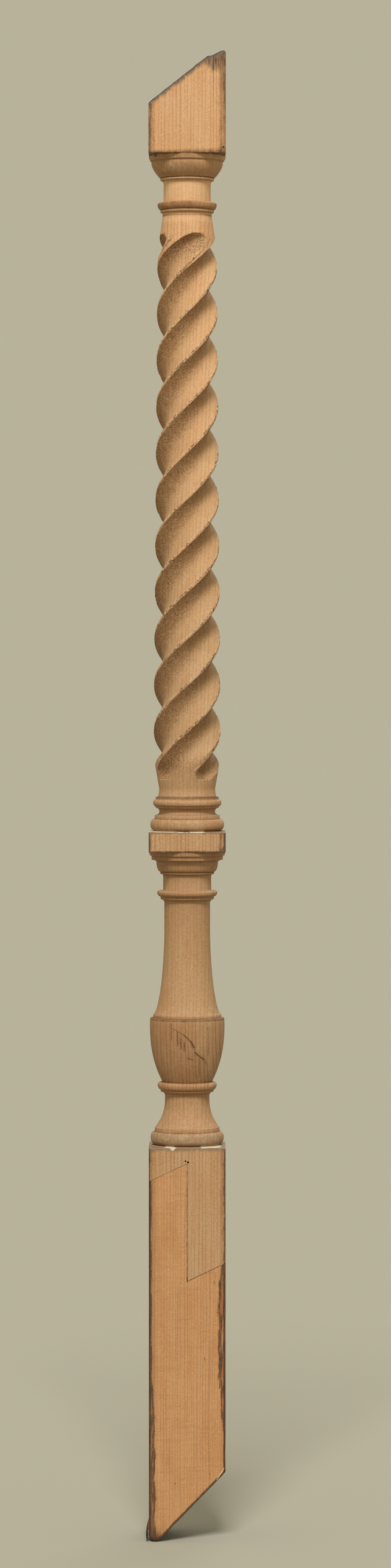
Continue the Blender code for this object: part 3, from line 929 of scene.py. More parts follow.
@dataclass(frozen=True)
class Twist:
    """The carved stretch of the shaft: hollow flutes that wind as a right-handed screw.

    Attributes:
        foot: Where the fluting starts.
        length: How long it is.
        starts: How many flutes there are.
        lead: The height of one full turn.
        start_angle: Where an arris stands at the foot.
        depth: How deep the flutes are.
        land: How wide the flats between them are, round the shaft.
        long_run: How long a flute's end is on its slow side.
        short_run: How long it is on its quick side.
        chip_size: The size of the chips along the flats.
        chip_depth: How deep those are.
        seed: Picks the pattern of the chips.
    """

    CHAIN: ClassVar[tuple[str, ...]] = (
        "NodeGroupInput", "GeometryNodeSetPosition", "GeometryNodeRealizeInstances",
        "GeometryNodeSetMaterial", "NodeGroupOutput",
    )
    MEAN_RADIUS: ClassVar[float] = 0.0195
    LEAST_WIDTH: ClassVar[float] = 0.02

    foot: float = 0.4469
    length: float = 0.3333
    starts: int = 4
    lead: float = 0.1135
    start_angle: float = math.radians(-4.4)
    depth: float = 0.0057
    land: float = 0.0022
    long_run: float = 0.032
    short_run: float = 0.008
    chip_size: float = 0.0021
    chip_depth: float = 0.0005
    seed: float = 4.0

    def edges(self, height: Array) -> tuple[Array, Array]:
        """How far a flute reaches to each side of its centre line.

        Args:
            height: The heights.

        Returns:
            The upper and the lower side's reach, as shares of the half width.
        """
        from_foot = np.clip(height - self.foot, 0.0, self.length)
        from_head = self.length - from_foot
        upper = np.maximum(self.narrowing(from_foot, self.short_run), self.narrowing(from_head, self.long_run))
        lower = np.maximum(self.narrowing(from_foot, self.long_run), self.narrowing(from_head, self.short_run))
        return 1 - upper, 1 - lower

    @staticmethod
    def narrowing(distance: Array, run: float) -> Array:
        """The share of a flute's half width that is lost at a distance from its end."""
        left = 1 - np.clip(distance / run, 0.0, 1.0)
        return 1 - np.sqrt(np.maximum(0.0, 1 - left * left))

    def turned(self, height: Array) -> Array:
        """The angle at which an arris stands at each height."""
        risen = np.clip(height - self.foot, 0.0, self.length)
        return self.start_angle + 2 * math.pi * risen / self.lead

    def columns(self, height: float, radius: float) -> Array:
        """The angles of a ring's columns, which follow the flutes' edges.

        Args:
            height: The ring's height.
            radius: The shaft's radius there.

        Returns:
            The angles.
        """
        upper, lower = (max(float(edge), 0.3) for edge in self.edges(np.array(height)))
        even = np.linspace(-1.0, 1.0, 21)
        share = 0.55 * even + 0.45 * np.sin(even * math.pi / 2)
        pitch = 2 * math.pi / self.starts
        half_flute = pitch / 2 - self.land / 2 / radius
        flute = np.where(share < 0, share * upper, share * lower) * half_flute
        flat = np.linspace(flute[-1], flute[0] + pitch, 9)[1:-1]
        one = np.concatenate((flute, flat)) + float(self.turned(np.array(height))) + pitch / 2
        return np.concatenate([one + pitch * start for start in range(self.starts)])

    def across(self, points: Array) -> tuple[Array, Array, Array]:
        """Where points lie in their flute.

        Args:
            points: The points.

        Returns:
            The place across the flute from -1 to 1, the flute's width, and the way round from the nearest
            arris, which is negative on its upper left.
        """
        angle = np.arctan2(points[:, 0], -points[:, 1])
        radius = np.hypot(points[:, 0], points[:, 1])
        pitch = 2 * math.pi / self.starts
        offset = (angle - self.turned(points[:, 2])) % pitch - pitch / 2
        upper, lower = self.edges(points[:, 2])
        width = (upper + lower) / 2
        half_flute = pitch / 2 - self.land / 2 / self.MEAN_RADIUS
        place = (offset / half_flute - (lower - upper) / 2) / np.maximum(width, self.LEAST_WIDTH)
        return place, width, (offset - np.copysign(pitch / 2, offset)) * radius

    def carve(self, blank: Object) -> None:
        """Cut the flutes into a turned blank, with the chips on the flats between them.

        Args:
            blank: The object that holds the blank.
        """
        tree, names = self.carving_tree(blank.data.materials[0])
        modifier = blank.modifiers.new("carve_twist", "NODES")
        modifier.node_group = tree
        for name, identifier in names.items():
            modifier[identifier] = float(getattr(self, name))
        baked(blank)
        bpy.data.node_groups.remove(tree)

    def carving_tree(self, finish: Material) -> tuple[NodeTree, dict[str, str]]:
        """The geometry tree that carves.

        Args:
            finish: The material that it sets.

        Returns:
            The tree, and the identifier of each named input.
        """
        tree = bpy.data.node_groups.new("carve_twist", "GeometryNodeTree")
        for way in ("INPUT", "OUTPUT"):
            tree.interface.new_socket("Geometry", in_out=way, socket_type="NodeSocketGeometry")
        made = {
            size.name: tree.interface.new_socket(size.name, in_out="INPUT", socket_type="NodeSocketFloat")
            for size in fields(self)
        }
        chain = [tree.nodes.new(kind) for kind in self.CHAIN]
        for before, after in zip(chain, chain[1:]):
            tree.links.new(before.outputs[0], after.inputs[0])
        entry, shift, _, dress, _ = chain
        inputs = {name: Signal(tree, entry.outputs[name]) for name in made}
        feed(tree, shift.inputs["Position"], self.carved_place(tree, inputs))
        dress.inputs["Material"].default_value = finish
        return tree, {name: socket.identifier for name, socket in made.items()}

    @staticmethod
    def carved_place(tree: NodeTree, inputs: dict[str, Signal]) -> Signal:
        """The rule that moves each point of the blank.

        Args:
            tree: The geometry tree.
            inputs: The named inputs.

        Returns:
            The point's new place.
        """
        place = add_node(tree, "GeometryNodeInputPosition")
        split = tree.nodes.new("ShaderNodeSeparateXYZ")
        tree.links.new(place.socket, split.inputs[0])
        x, y, z = (Signal(tree, output) for output in split.outputs)
        radius = (x * x + y * y).do("SQRT")
        pitch = inputs["starts"].do("POWER", -1.0) * (2 * math.pi)

        def narrowing(distance: Signal, run: Signal) -> Signal:
            """The share of the half width that is lost near a flute's end."""
            left = 1 - (distance / run).clamp()
            return 1 - (1 - left * left).do("MAXIMUM", 0.0).do("SQRT")

        risen = (z - inputs["foot"]).do("MAXIMUM", 0.0).do("MINIMUM", inputs["length"])
        to_head = inputs["length"] - risen
        short, long = inputs["short_run"], inputs["long_run"]
        upper = 1 - narrowing(risen, short).do("MAXIMUM", narrowing(to_head, long))
        lower = 1 - narrowing(risen, long).do("MAXIMUM", narrowing(to_head, short))
        width = (upper + lower) * 0.5
        middle = (lower - upper) * 0.5
        half_flute = pitch * 0.5 - inputs["land"] * 0.5 / radius
        turned = risen / inputs["lead"] * (2 * math.pi) + inputs["start_angle"]
        angle = x.do("ARCTAN2", -y) - turned
        offset = angle.do("WRAP", pitch, 0.0) - pitch * 0.5
        across = (offset / half_flute - middle) / width.do("MAXIMUM", Twist.LEAST_WIDTH)
        hollow = (1 - across * across).do("MAXIMUM", 0.0) * width * inputs["depth"]
        hollow = hollow * width.do("GREATER_THAN", 0.01)

        from_arris = (pitch * 0.5 - offset.do("ABSOLUTE")) * radius
        on_land = from_arris.ease(0.0019, 0.0011) * width.ease(0.3, 0.8)
        cells = tree.nodes.new("ShaderNodeTexVoronoi")
        feed(tree, cells.inputs["Vector"], place)
        feed(tree, cells.inputs["Scale"], inputs["chip_size"].do("POWER", -1.0))
        chip = Signal(tree, cells.outputs["Distance"]).ease(0.58, 0.22)
        patches = add_node(tree, "ShaderNodeTexNoise", place, inputs["seed"], 95.0, 2.0, noise_dimensions="4D")
        chips = chip * on_land * patches.ease(0.4, 0.6) * inputs["chip_depth"]
        seed = inputs["seed"] + 3.0
        waves = add_node(tree, "ShaderNodeTexNoise", place, seed, 210.0, 2.0, noise_dimensions="4D")
        facets = (waves - 0.5) * hollow * 0.16
        keep = 1 - (hollow + chips + facets) / radius
        return add_node(tree, "ShaderNodeCombineXYZ", x * keep, y * keep, z)


BAND, BEAD, OVOLO = Profile.BAND, Profile.BEAD, Profile.OVOLO
COVE, SHOULDER, SWEEP = Profile.COVE, Profile.SHOULDER, Profile.SWEEP


@dataclass
class Spindle:
    """The old spindle, from its tongue to its raked top.

    Attributes:
        scarf: The joint at its lower end.
        twist: The carved stretch of its shaft.
        finish: Its surface.
        stain: How dark the wood has grown, as height and share.
        bold: How strong the rings' dark lines are, as height and share.
        haze: How strong the veil of old limewash is, as height and share.
        ledges: The two ledges' heights, and how far from each its paint starts to fade in and is full.
        small_span: The small block's lower and upper edge.
        block_top: The foot block's shoulder.
        small_block: The small block's height.
        top_block: The top block's height on the axis.
        top_rake: The top's slope.
        bottom: Where the turned blank starts, below the joint.
        row: About how far apart the rows of the turned stretches are.
        shaft_row: How far apart the twist's rows are.
        plain_foot: The plain stretch of the shaft under the twist.
        plain_head: The plain stretch above it.
        easing: How much the blocks' corners have lost.
        lower: The mouldings between the foot block and the small block.
        above_block: The mouldings between the small block and the shaft.
        capital: The mouldings between the shaft and the top block.
        tip: The broken tip's outline, as X and height.
    """

    scarf: Scarf
    twist: Twist
    finish: SpindleFinish
    stain: tuple[Point, ...] = (
        (0.2222, 0.1), (0.2226, 0.5), (0.2305, 0.5), (0.233, 0.3), (0.25, 0.25), (0.254, 0.35),
        (0.262, 0.35), (0.266, 0.52), (0.294, 0.52), (0.3, 0.4), (0.306, 0.18), (0.33, 0.12),
        (0.36, 0.28), (0.3786, 0.32), (0.3794, 0.1), (0.3864, 0.1), (0.3878, 0.38),
        (0.402, 0.45), (0.4028, 0.0), (0.4151, 0.0), (0.4155, 0.3),
        (0.43, 0.25), (0.436, 0.2), (0.446, 0.1), (0.78, 0.0), (0.7925, 0.0), (0.7945, 0.5),
        (0.7963, 0.9), (0.7994, 0.8), (0.7998, 0.0), (0.8125, 0.0), (0.8155, 0.5), (0.828, 0.55),
        (0.8282, 0.0),
    )
    bold: tuple[Point, ...] = (
        (0.2224, 0.5), (0.23, 0.35), (0.256, 0.4), (0.262, 1.0), (0.294, 1.0), (0.301, 0.5),
        (0.31, 0.3), (0.36, 0.2), (0.402, 0.3), (0.4028, 0.6), (0.415, 0.6), (0.416, 0.2),
        (0.442, 0.25), (0.45, 0.5),
    )
    haze: tuple[Point, ...] = (
        (0.224, 0.0), (0.2258, 0.9), (0.23, 0.9), (0.232, 0.25), (0.242, 0.15), (0.25, 0.0),
        (0.303, 0.0), (0.3045, 0.35), (0.309, 0.0), (0.362, 0.0), (0.365, 0.4), (0.37, 0.0),
        (0.4165, 0.0), (0.4185, 0.5), (0.423, 0.5), (0.426, 0.1), (0.436, 0.3), (0.44, 0.0),
    )
    ledges: tuple[tuple[float, float, float], ...] = ((0.2228, 0.0013, 0.0008), (0.4154, 0.0011, 0.0006))
    small_span: Point = (0.4027, 0.4154)
    block_top: float = 0.2224
    small_block: float = 0.0123
    top_block: float = 0.0491
    top_rake: float = math.radians(38.2)
    bottom: float = 0.138
    row: float = 0.0009
    shaft_row: float = 0.0007
    plain_foot: float = 0.0107
    plain_head: float = 0.0111
    easing: float = 0.0003
    lower: tuple[Moulding, ...] = stack(
        (SWEEP, 0.0008, 0.0203, 0.0231, 1.6), (BEAD, 0.0078, 0.0225, 0.0202), (BAND, 0.0025, 0.0199),
        (SWEEP, 0.0173, 0.01365, 0.0197, 2.25), (BAND, 0.0019, 0.01365), (COVE, 0.0026, 0.0163, 0.01365),
        (BAND, 0.0013, 0.0163), (OVOLO, 0.00317, 0.0182, 0.0163), (SHOULDER, 0.00163, 0.0153, 0.0182),
        (SWEEP, 0.0354, 0.0229, 0.0153, 2.4), (SHOULDER, 0.004, 0.0225, 0.0229), (BAND, 0.002, 0.0209),
        (SWEEP, 0.05, 0.01406, 0.0209, 1.55, 0.6), (BAND, 0.0184, 0.01406), (COVE, 0.0023, 0.0164, 0.01406),
        (BAND, 0.0017, 0.0164), (OVOLO, 0.0027, 0.0185, 0.0166), (SHOULDER, 0.0012, 0.01475, 0.0185),
        (BAND, 0.0085, 0.01475), (COVE, 0.0013, 0.01625, 0.01475), (BEAD, 0.0014, 0.0167, 0.0161),
        (OVOLO, 0.0058, 0.0189, 0.0165), (COVE, 0.0016, 0.0217, 0.0189), (BAND, 0.002, 0.0219),
        (COVE, 0.0007, 0.0229, 0.022), (SWEEP, 0.0024, 0.0234, 0.023, 1.0),
    )
    above_block: tuple[Moulding, ...] = stack(
        (SWEEP, 0.0006, 0.0205, 0.0231, 1.6), (BEAD, 0.0071, 0.02265, 0.0204), (BAND, 0.0023, 0.02),
        (BEAD, 0.0045, 0.0171, 0.0195), (BAND, 0.0009, 0.0195), (BEAD, 0.0042, 0.02095, 0.0195),
        (BAND, 0.0015, 0.0193),
    )
    capital: tuple[Moulding, ...] = stack(
        (BAND, 0.0012, 0.0151), (COVE, 0.0008, 0.016, 0.0151), (BEAD, 0.0019, 0.0165, 0.0161),
        (OVOLO, 0.003, 0.0181, 0.0164), (BAND, 0.0004, 0.0181), (SHOULDER, 0.0011, 0.0146, 0.0181),
        (BAND, 0.0102, 0.0144), (COVE, 0.0028, 0.0156, 0.0144), (BEAD, 0.0018, 0.0166, 0.0157),
        (SWEEP, 0.0093, 0.022, 0.0168, 1.7), (COVE, 0.001, 0.0227, 0.0218),
        (SWEEP, 0.0032, 0.0234, 0.0227, 1.0),
    )
    tip: tuple[Point, ...] = (
        (0.013, 0.8866), (0.0157, 0.8876), (0.0176, 0.8885), (0.0195, 0.8896),
        (0.0212, 0.8902), (0.0228, 0.8902), (0.0235, 0.8897),
    )

    def outline(self, mouldings: tuple[Moulding, ...], height: float) -> list[Point]:
        """Stack mouldings into one outline, with each sharp edge a little worn.

        Args:
            mouldings: The mouldings, from the lowest up.
            height: Where the first one starts.

        Returns:
            The outline's points, as height and radius.
        """
        points: list[Point] = []
        for moulding in mouldings:
            points += [(height + rise, radius) for rise, radius in moulding.trace(self.row)]
            height += moulding.height
        return worn_edges(points, EDGE_WEAR)

    def shaft_radius(self, height: float) -> float:
        """The uncarved shaft's radius.

        Args:
            height: The height above the shaft's foot.

        Returns:
            The radius.
        """
        if height < 0.005:
            return 0.0172 + 0.0009 * (1 - height / 0.005) ** 2
        if height < 0.0215:
            return 0.0172 + 0.0028 * (height - 0.005) / 0.0165
        if height < 0.044:
            return 0.02 + 0.0005 * math.sin(math.pi / 2 * (height - 0.0215) / 0.0225)
        if height < 0.3205:
            return 0.0205 - 0.0022 * (height - 0.044) / 0.2765
        return 0.0183 - 0.0033 * min(1.0, (height - 0.3205) / 0.0346) ** 1.8

    def top_height(self, x: Array, y: Array) -> Array:
        """The raked top, with its saw marks and its broken tip.

        Args:
            x: The points' X.
            y: The points' Y.

        Returns:
            The height at each point.
        """
        centre = self.block_foot() + self.top_block
        plane = centre + x * math.tan(self.top_rake)
        along = x / math.cos(self.top_rake) + 0.06 * y
        places = np.column_stack((x, y, x * 0))
        saw = (along / 0.0022 + 0.25 * ripple(places, (0.02, 0.03, 1.0), 1.0)) % 1.0
        rough = ripple(places, (0.0012, 0.0016, 1.0), 5.0)
        sawn = plane - 0.00042 * np.abs(2 * saw - 1) ** 1.5 - 0.0002 * (1 + rough)
        fibres = ripple(places, (0.0009, 0.0012, 1.0), 9.0) * 0.5
        fibres = fibres + ripple(places, (0.0004, 0.0005, 1.0), 12.0) * 0.5
        broken = np.interp(x, *zip(*self.tip)) - 0.0005 + 0.0004 * fibres - 0.0012 * ease(y, 0.0, HALF_STOCK)
        return np.where(x > self.tip[0][0], np.minimum(broken, plane), sawn)

    def block_foot(self) -> float:
        """The top block's lower edge.

        Returns:
            Its height.
        """
        mouldings = self.lower + self.above_block + self.capital
        shaft = self.twist.length + self.plain_foot + self.plain_head
        return self.block_top + self.small_block + shaft + sum(part.height for part in mouldings)

    def rows(self) -> tuple[list[tuple[float, float, float]], float, list[Point], float]:
        """Every row below the shaft, the shaft's foot, the capital's outline and the shaft's head.

        Returns:
            The rows as height, turned radius and half width of the stock; the shaft's foot; the capital's
            outline; and the shaft's head.
        """
        full, shoulder = HALF_STOCK, self.block_top
        heights = [*np.arange(self.bottom, shoulder - 0.0004, 0.0024), shoulder - 0.0003]
        rows = [(height, CLEAR_RADIUS, full) for height in heights]
        rows.append((shoulder, CLEAR_RADIUS, full - 0.00035))
        outline = self.outline(self.lower, shoulder)
        rows += [(height, radius, full) for height, radius in outline]
        block = outline[-1][0]
        rows.append((block, CLEAR_RADIUS, full - 0.00025))
        rows += [
            (block + self.small_block * share, CLEAR_RADIUS, full)
            for share in (0.02, 0.06, 0.11, 0.18, 0.32, 0.5, 0.68, 0.82, 0.89, 0.94, 0.98)
        ]
        rows.append((block + self.small_block, CLEAR_RADIUS, full - 0.00025))
        outline = self.outline(self.above_block, block + self.small_block)
        rows += [(height, radius, full) for height, radius in outline]
        foot = outline[-1][0]
        head = foot + self.plain_foot + self.twist.length + self.plain_head
        return rows, foot, self.outline(self.capital, head), head

    def blank(self) -> Loft:
        """The spindle as the lathe leaves it, with its square blocks.

        Returns:
            The loft.
        """
        loft = Loft()
        square = square_angles()
        rows, foot, capital, head = self.rows()
        for height, radius, half in rows:
            reach = np.minimum(square_reach(square, half, self.easing), radius)
            loft.ring(square, around(square, reach, height))
        loft.cap()
        low, high = foot + self.plain_foot, head - self.plain_head
        carved = np.linspace(low, high, round(self.twist.length / self.shaft_row))
        for height in [*np.linspace(foot, low, 12)[:-1], *carved, *np.linspace(high, head, 10)[1:]]:
            radius = self.shaft_radius(height - foot)
            angles = self.twist.columns(height, radius)
            loft.ring(angles, around(angles, np.full(len(angles), radius), height))
        for height, radius in capital:
            reach = np.minimum(square_reach(square, HALF_STOCK, self.easing), radius)
            loft.ring(square, around(square, reach, height))
        self.raise_top_block(loft, square, capital[-1][0])
        return loft

    def raise_top_block(self, loft: Loft, square: Array, foot: float) -> None:
        """Add the top block, from its shoulder to its raked top.

        Args:
            loft: The loft.
            square: The ring columns' angles.
            foot: The block's lower edge.
        """
        edge = square_reach(square, HALF_STOCK - 0.00025, 0.0007)
        loft.ring(square, around(square, edge, foot))
        reach = square_reach(square, HALF_STOCK, 0.0008)
        side = around(square, reach, 0.0)
        top = self.top_height(side[:, 0], side[:, 1])
        low = foot + 0.0003
        for share in np.linspace(0.0, 1.0, 40) ** 0.8:
            loft.ring(square, around(square, reach, low + (top - 0.0004 - low) * share))
        loft.face(square, reach, np.linspace(0.985, 0.03, 32), self.top_height)
        loft.close(float(self.top_height(np.zeros(1), np.zeros(1))[0]))

    def wear(self, mesh: Mesh) -> None:
        """Round the blocks' corners unevenly, and break the top block's tip.

        Args:
            mesh: The spindle's mesh.
        """
        points = vertex_array(mesh)
        x, y, z = points.T
        block = self.block_foot()
        corner = np.minimum(np.abs(x), np.abs(y)) / HALF_STOCK
        blocks = (z < self.block_top + 0.0001) | (z > block - 0.0001)
        blocks |= (z > self.small_span[0]) & (z < self.small_span[1])
        uneven = 0.5 + 0.5 * ripple(points, (0.004, 0.004, 0.006), 3.0)
        loss = 0.0007 * ease(corner, 0.93, 1.0) * uneven * blocks
        broken = ease(x, 0.012, 0.015) * ease(z, 0.8735, 0.879)
        shred = 0.5 + 0.5 * ripple(points, (0.0007, 0.0007, 0.008), 8.0)
        front = ease(-y, 0.02, 0.0234)
        dent = 0.0009 * broken * front * shred
        scale = 1 - loss / HALF_STOCK
        points[:, 0] *= scale
        points[:, 1] = y * scale + dent
        nick = np.hypot(z - 0.5665, (y + 0.002) * 0.5)
        points[:, 0] -= 0.0007 * ease(nick, 0.0024, 0.0008) * (x > 0.015)
        mesh.vertices.foreach_set("co", points.ravel())

    def masks(self, mesh: Mesh) -> None:
        """Write where dirt, paint, bruises and saw cuts are, and where shade and a highlight are painted.

        Args:
            mesh: The spindle's mesh.
        """
        points = vertex_array(mesh)
        x, y, z = points.T
        facing = vertex_array(mesh, "normal")[:, 2]
        _, foot, _, head = self.rows()
        block = self.block_foot()
        carved = (z > foot + 0.004) & (z < head - 0.004)
        turned = ~carved & (z < block) & (z > self.block_top)
        place, width, from_arris = self.twist.across(points)
        inside = ease(np.abs(place), 1.04, 0.96) * ease(width, 0.0, 0.1) * carved
        clear = ease(width, 0.2, 0.7) * carved
        below = self.top_height(x, y) - z
        saw_face = (z < self.block_top - 0.0004) * (np.maximum(np.abs(x), np.abs(y)) < 0.0233)
        lower_ledge, upper_ledge = (ease(np.abs(z - at), far, near) for at, far, near in self.ledges)
        bead_dust = ease(z, 0.2236, 0.2242) * ease(z, 0.2306, 0.2296) * 0.62
        end_zone = np.maximum(ease(z, head - 0.034, head - 0.018), ease(z, 0.464, 0.454) * 0.7)
        drips = ease(z, 0.816, 0.819) * ease(z, 0.8248, 0.823)
        write_masks(
            mesh,
            # Painted shade on each flute's upper-left side, under the arris above; it also places pits and
            # rougher wood.
            lee=inside * ease(place, 0.55, -0.95),
            hollow=inside,
            crest=ease(np.abs(from_arris), 0.0014, 0.0009) * clear,
            # Painted highlight just to the upper left of each arris.
            rim=ease(np.abs(from_arris + 0.0008), 0.0005, 0.0001) * clear,
            # Painted shade just to the lower right of each arris.
            cleft=ease(np.abs(from_arris - 0.0011), 0.0006, 0.0002) * clear,
            ends=inside * end_zone,
            # Painted shade and dirt in the mouldings' recesses.
            grime=self.grime(points, carved),
            turned=turned,
            # Painted shade on the turned surfaces that face down.
            under=ease(-facing, 0.15, 0.85) * turned,
            sawn=np.maximum(ease(below, 0.0016, 0.0002), saw_face),
            saw_edge=(z > block - 0.0002) * ease(below, 0.0027, 0.001),
            frayed=self.frayed(points, below),
            soot=self.soot(points, below),
            paint=self.old_paint(points, lower_ledge, upper_ledge),
            ledge=np.maximum((upper_ledge + lower_ledge) * ease(facing, 0.15, 0.5), bead_dust),
            stain=np.interp(z, *zip(*self.stain)) * (0.7 + 0.3 * ease(x, 0.009, 0.001)),
            bold=np.interp(z, *zip(*self.bold)),
            haze=np.interp(z, *zip(*self.haze)),
            bare=np.interp(z, [0.7995, 0.8005, 0.8122, 0.814], [0.0, 1.0, 1.0, 0.0]),
            streaks=drips * ease(x, 0.003, -0.001) * ease(-x, 0.016, 0.013) * (y < 0),
        )

    def grime(self, points: Array, carved: Array) -> Array:
        """Painted shade and dirt in the mouldings' recesses, where the outline is below its own average.

        Args:
            points: The spindle's points.
            carved: Which of them the twist takes.

        Returns:
            The mask.
        """
        z = points[:, 2]
        rows, foot, capital, head = self.rows()
        outline = [(height, min(reach, half)) for height, reach, half in rows]
        outline += [(foot, 0.0181), (head, 0.015), *capital]
        ladder = np.arange(0.2, 0.84, 0.0002)
        profile = np.interp(ladder, *zip(*outline))
        kernel = np.exp(-0.5 * (np.arange(-12, 13) / 2.2) ** 2)
        average = np.convolve(profile, kernel / kernel.sum(), mode="same")
        recess = np.interp(z, ladder, np.clip((average - profile - 0.00008) / 0.0005, 0.0, 1.0))
        grime = np.where(carved | (z > self.block_foot()) | (z < self.block_top), 0.0, recess)
        grime = grime * np.interp(z, [0.7992, 0.8, 0.8095, 0.8105], [1.0, 0.15, 0.15, 1.0])
        grime = grime * np.interp(z, [0.3784, 0.3792, 0.3866, 0.3874], [1.0, 0.25, 0.25, 1.0])
        uneven = 0.75 + 0.6 * ripple(points, (0.002, 0.002, 0.001), 21.0)
        return np.maximum(grime, ease(np.abs(z - 0.3002), 0.0007, 0.0002) * uneven)

    def frayed(self, points: Array, below: Array) -> Array:
        """The broken fibres at the top block's tip and down its right corner.

        Args:
            points: The spindle's points.
            below: How far they are below the raked top.

        Returns:
            The mask.
        """
        x, y, z = points.T
        deep = np.interp(x, [0.009, 0.0135, 0.016, 0.0235], [0.002, 0.0065, 0.0105, 0.0135])
        deep = deep + 0.0022 * ripple(points, (0.0011, 0.004, 0.004), 14.0)
        tip = ease(below, deep * 1.15, deep * 0.55) * ease(x, 0.0085, 0.013)
        right = ease(corner_gaps(x, y)[1], 0.004, 0.002) * ease(z, 0.864, 0.876) * 0.8
        return (z > self.block_foot() - 0.0002) * np.maximum(tip, right)

    def soot(self, points: Array, below: Array) -> Array:
        """The dark edges of the top block, the small block and the tongue.

        Args:
            points: The spindle's points.
            below: How far they are below the raked top.

        Returns:
            The mask.
        """
        x, y, z = points.T
        block = self.block_foot()
        from_left, from_right = corner_gaps(x, y)
        top_block = np.maximum.reduce([
            ease(from_left, 0.0054, 0.0008) * 0.88,
            ease(from_right, 0.006, 0.0024) * 0.64,
            ease(from_right, 0.0018, 0.0004) * 0.95,
            ease(below, 0.0052, 0.0012) * 0.8,
            ease(z - block, 0.001, 0.0001) * 0.95,
        ])
        tongue = ease(np.minimum(from_left, from_right), 0.0055, 0.0004) * 0.72
        tongue = np.maximum(tongue, ease(z, 0.2208, 0.2217))
        streak = 1 - 0.6 * ease(np.abs(x - 0.0217), 0.0007, 0.0002) * ease(z, 0.405, 0.407)
        small_block = np.maximum.reduce([
            ease(z, 0.4136, 0.4147) * 0.95,
            ease(z, 0.4046, 0.4034) * 1.05,
            ease(from_left, 0.0024, 0.0008) * 1.05,
            ease(from_right, 0.0055, 0.0031) * streak * 1.05,
        ])
        return np.maximum.reduce([
            top_block * (z > block - 0.0002),
            tongue * (z < self.block_top + 0.0001),
            small_block * ((z > self.small_span[0]) & (z < self.small_span[1])),
        ])

    @staticmethod
    def old_paint(points: Array, lower_ledge: Array, upper_ledge: Array) -> Array:
        """The lumps of old paint on the two ledges, and the dust on the vase's shoulder.

        Args:
            points: The spindle's points.
            lower_ledge: Where the lower ledge is.
            upper_ledge: Where the upper ledge is.

        Returns:
            The mask.
        """
        x, y, z = points.T
        radius = np.hypot(x, y)
        upper_share = np.interp(x, [-0.02, -0.016, -0.003, 0.004, 0.009, 0.013], [0.9, 1, 0.6, 0.7, 1, 0.2])
        lower_share = np.maximum(
            ease(np.abs(x + 0.0104), 0.0044, 0.0028), ease(np.abs(x - 0.0144), 0.007, 0.0054)
        )
        lumps = (upper_ledge * upper_share + lower_ledge * lower_share) * ease(radius, 0.0272, 0.0246)
        lumps = lumps * (0.85 + 0.35 * ripple(points, (0.003, 0.003, 0.002), 2.0))
        dust = ease(np.abs(z - 0.301), 0.0004, 0.0001) * ease(radius, 0.0226, 0.022) * 0.34
        return np.maximum(lumps, dust * (0.8 + 0.5 * ripple(points, (0.003, 0.003, 0.004), 22.0)))

    def build(self) -> Object:
        """Turn, carve, cut and dress the spindle.

        Returns:
            The piece.
        """
        material = self.finish.material()
        piece = put("old_spindle", self.blank().mesh("old_spindle"), material)
        self.twist.carve(piece)
        self.scarf.trim(piece, side=1)
        crack = [(0.0162, 0.8535), (0.01637, 0.891), (0.0161, 0.891)]
        cut(piece, slab("crack", crack, -0.025, -0.0205))
        for x, z, radius in ((-0.001, 0.2146, 0.00055), (0.0005, 0.2139, 0.00068)):
            turns = [2 * math.pi * i / 12 for i in range(12)]
            outline = [(x + radius * math.cos(turn), z + radius * math.sin(turn)) for turn in turns]
            cut(piece, slab("nail_hole", outline, -0.025, -0.0212))
        self.wear(piece.data)
        self.masks(piece.data)
        return finished(piece, "turned_spindle")


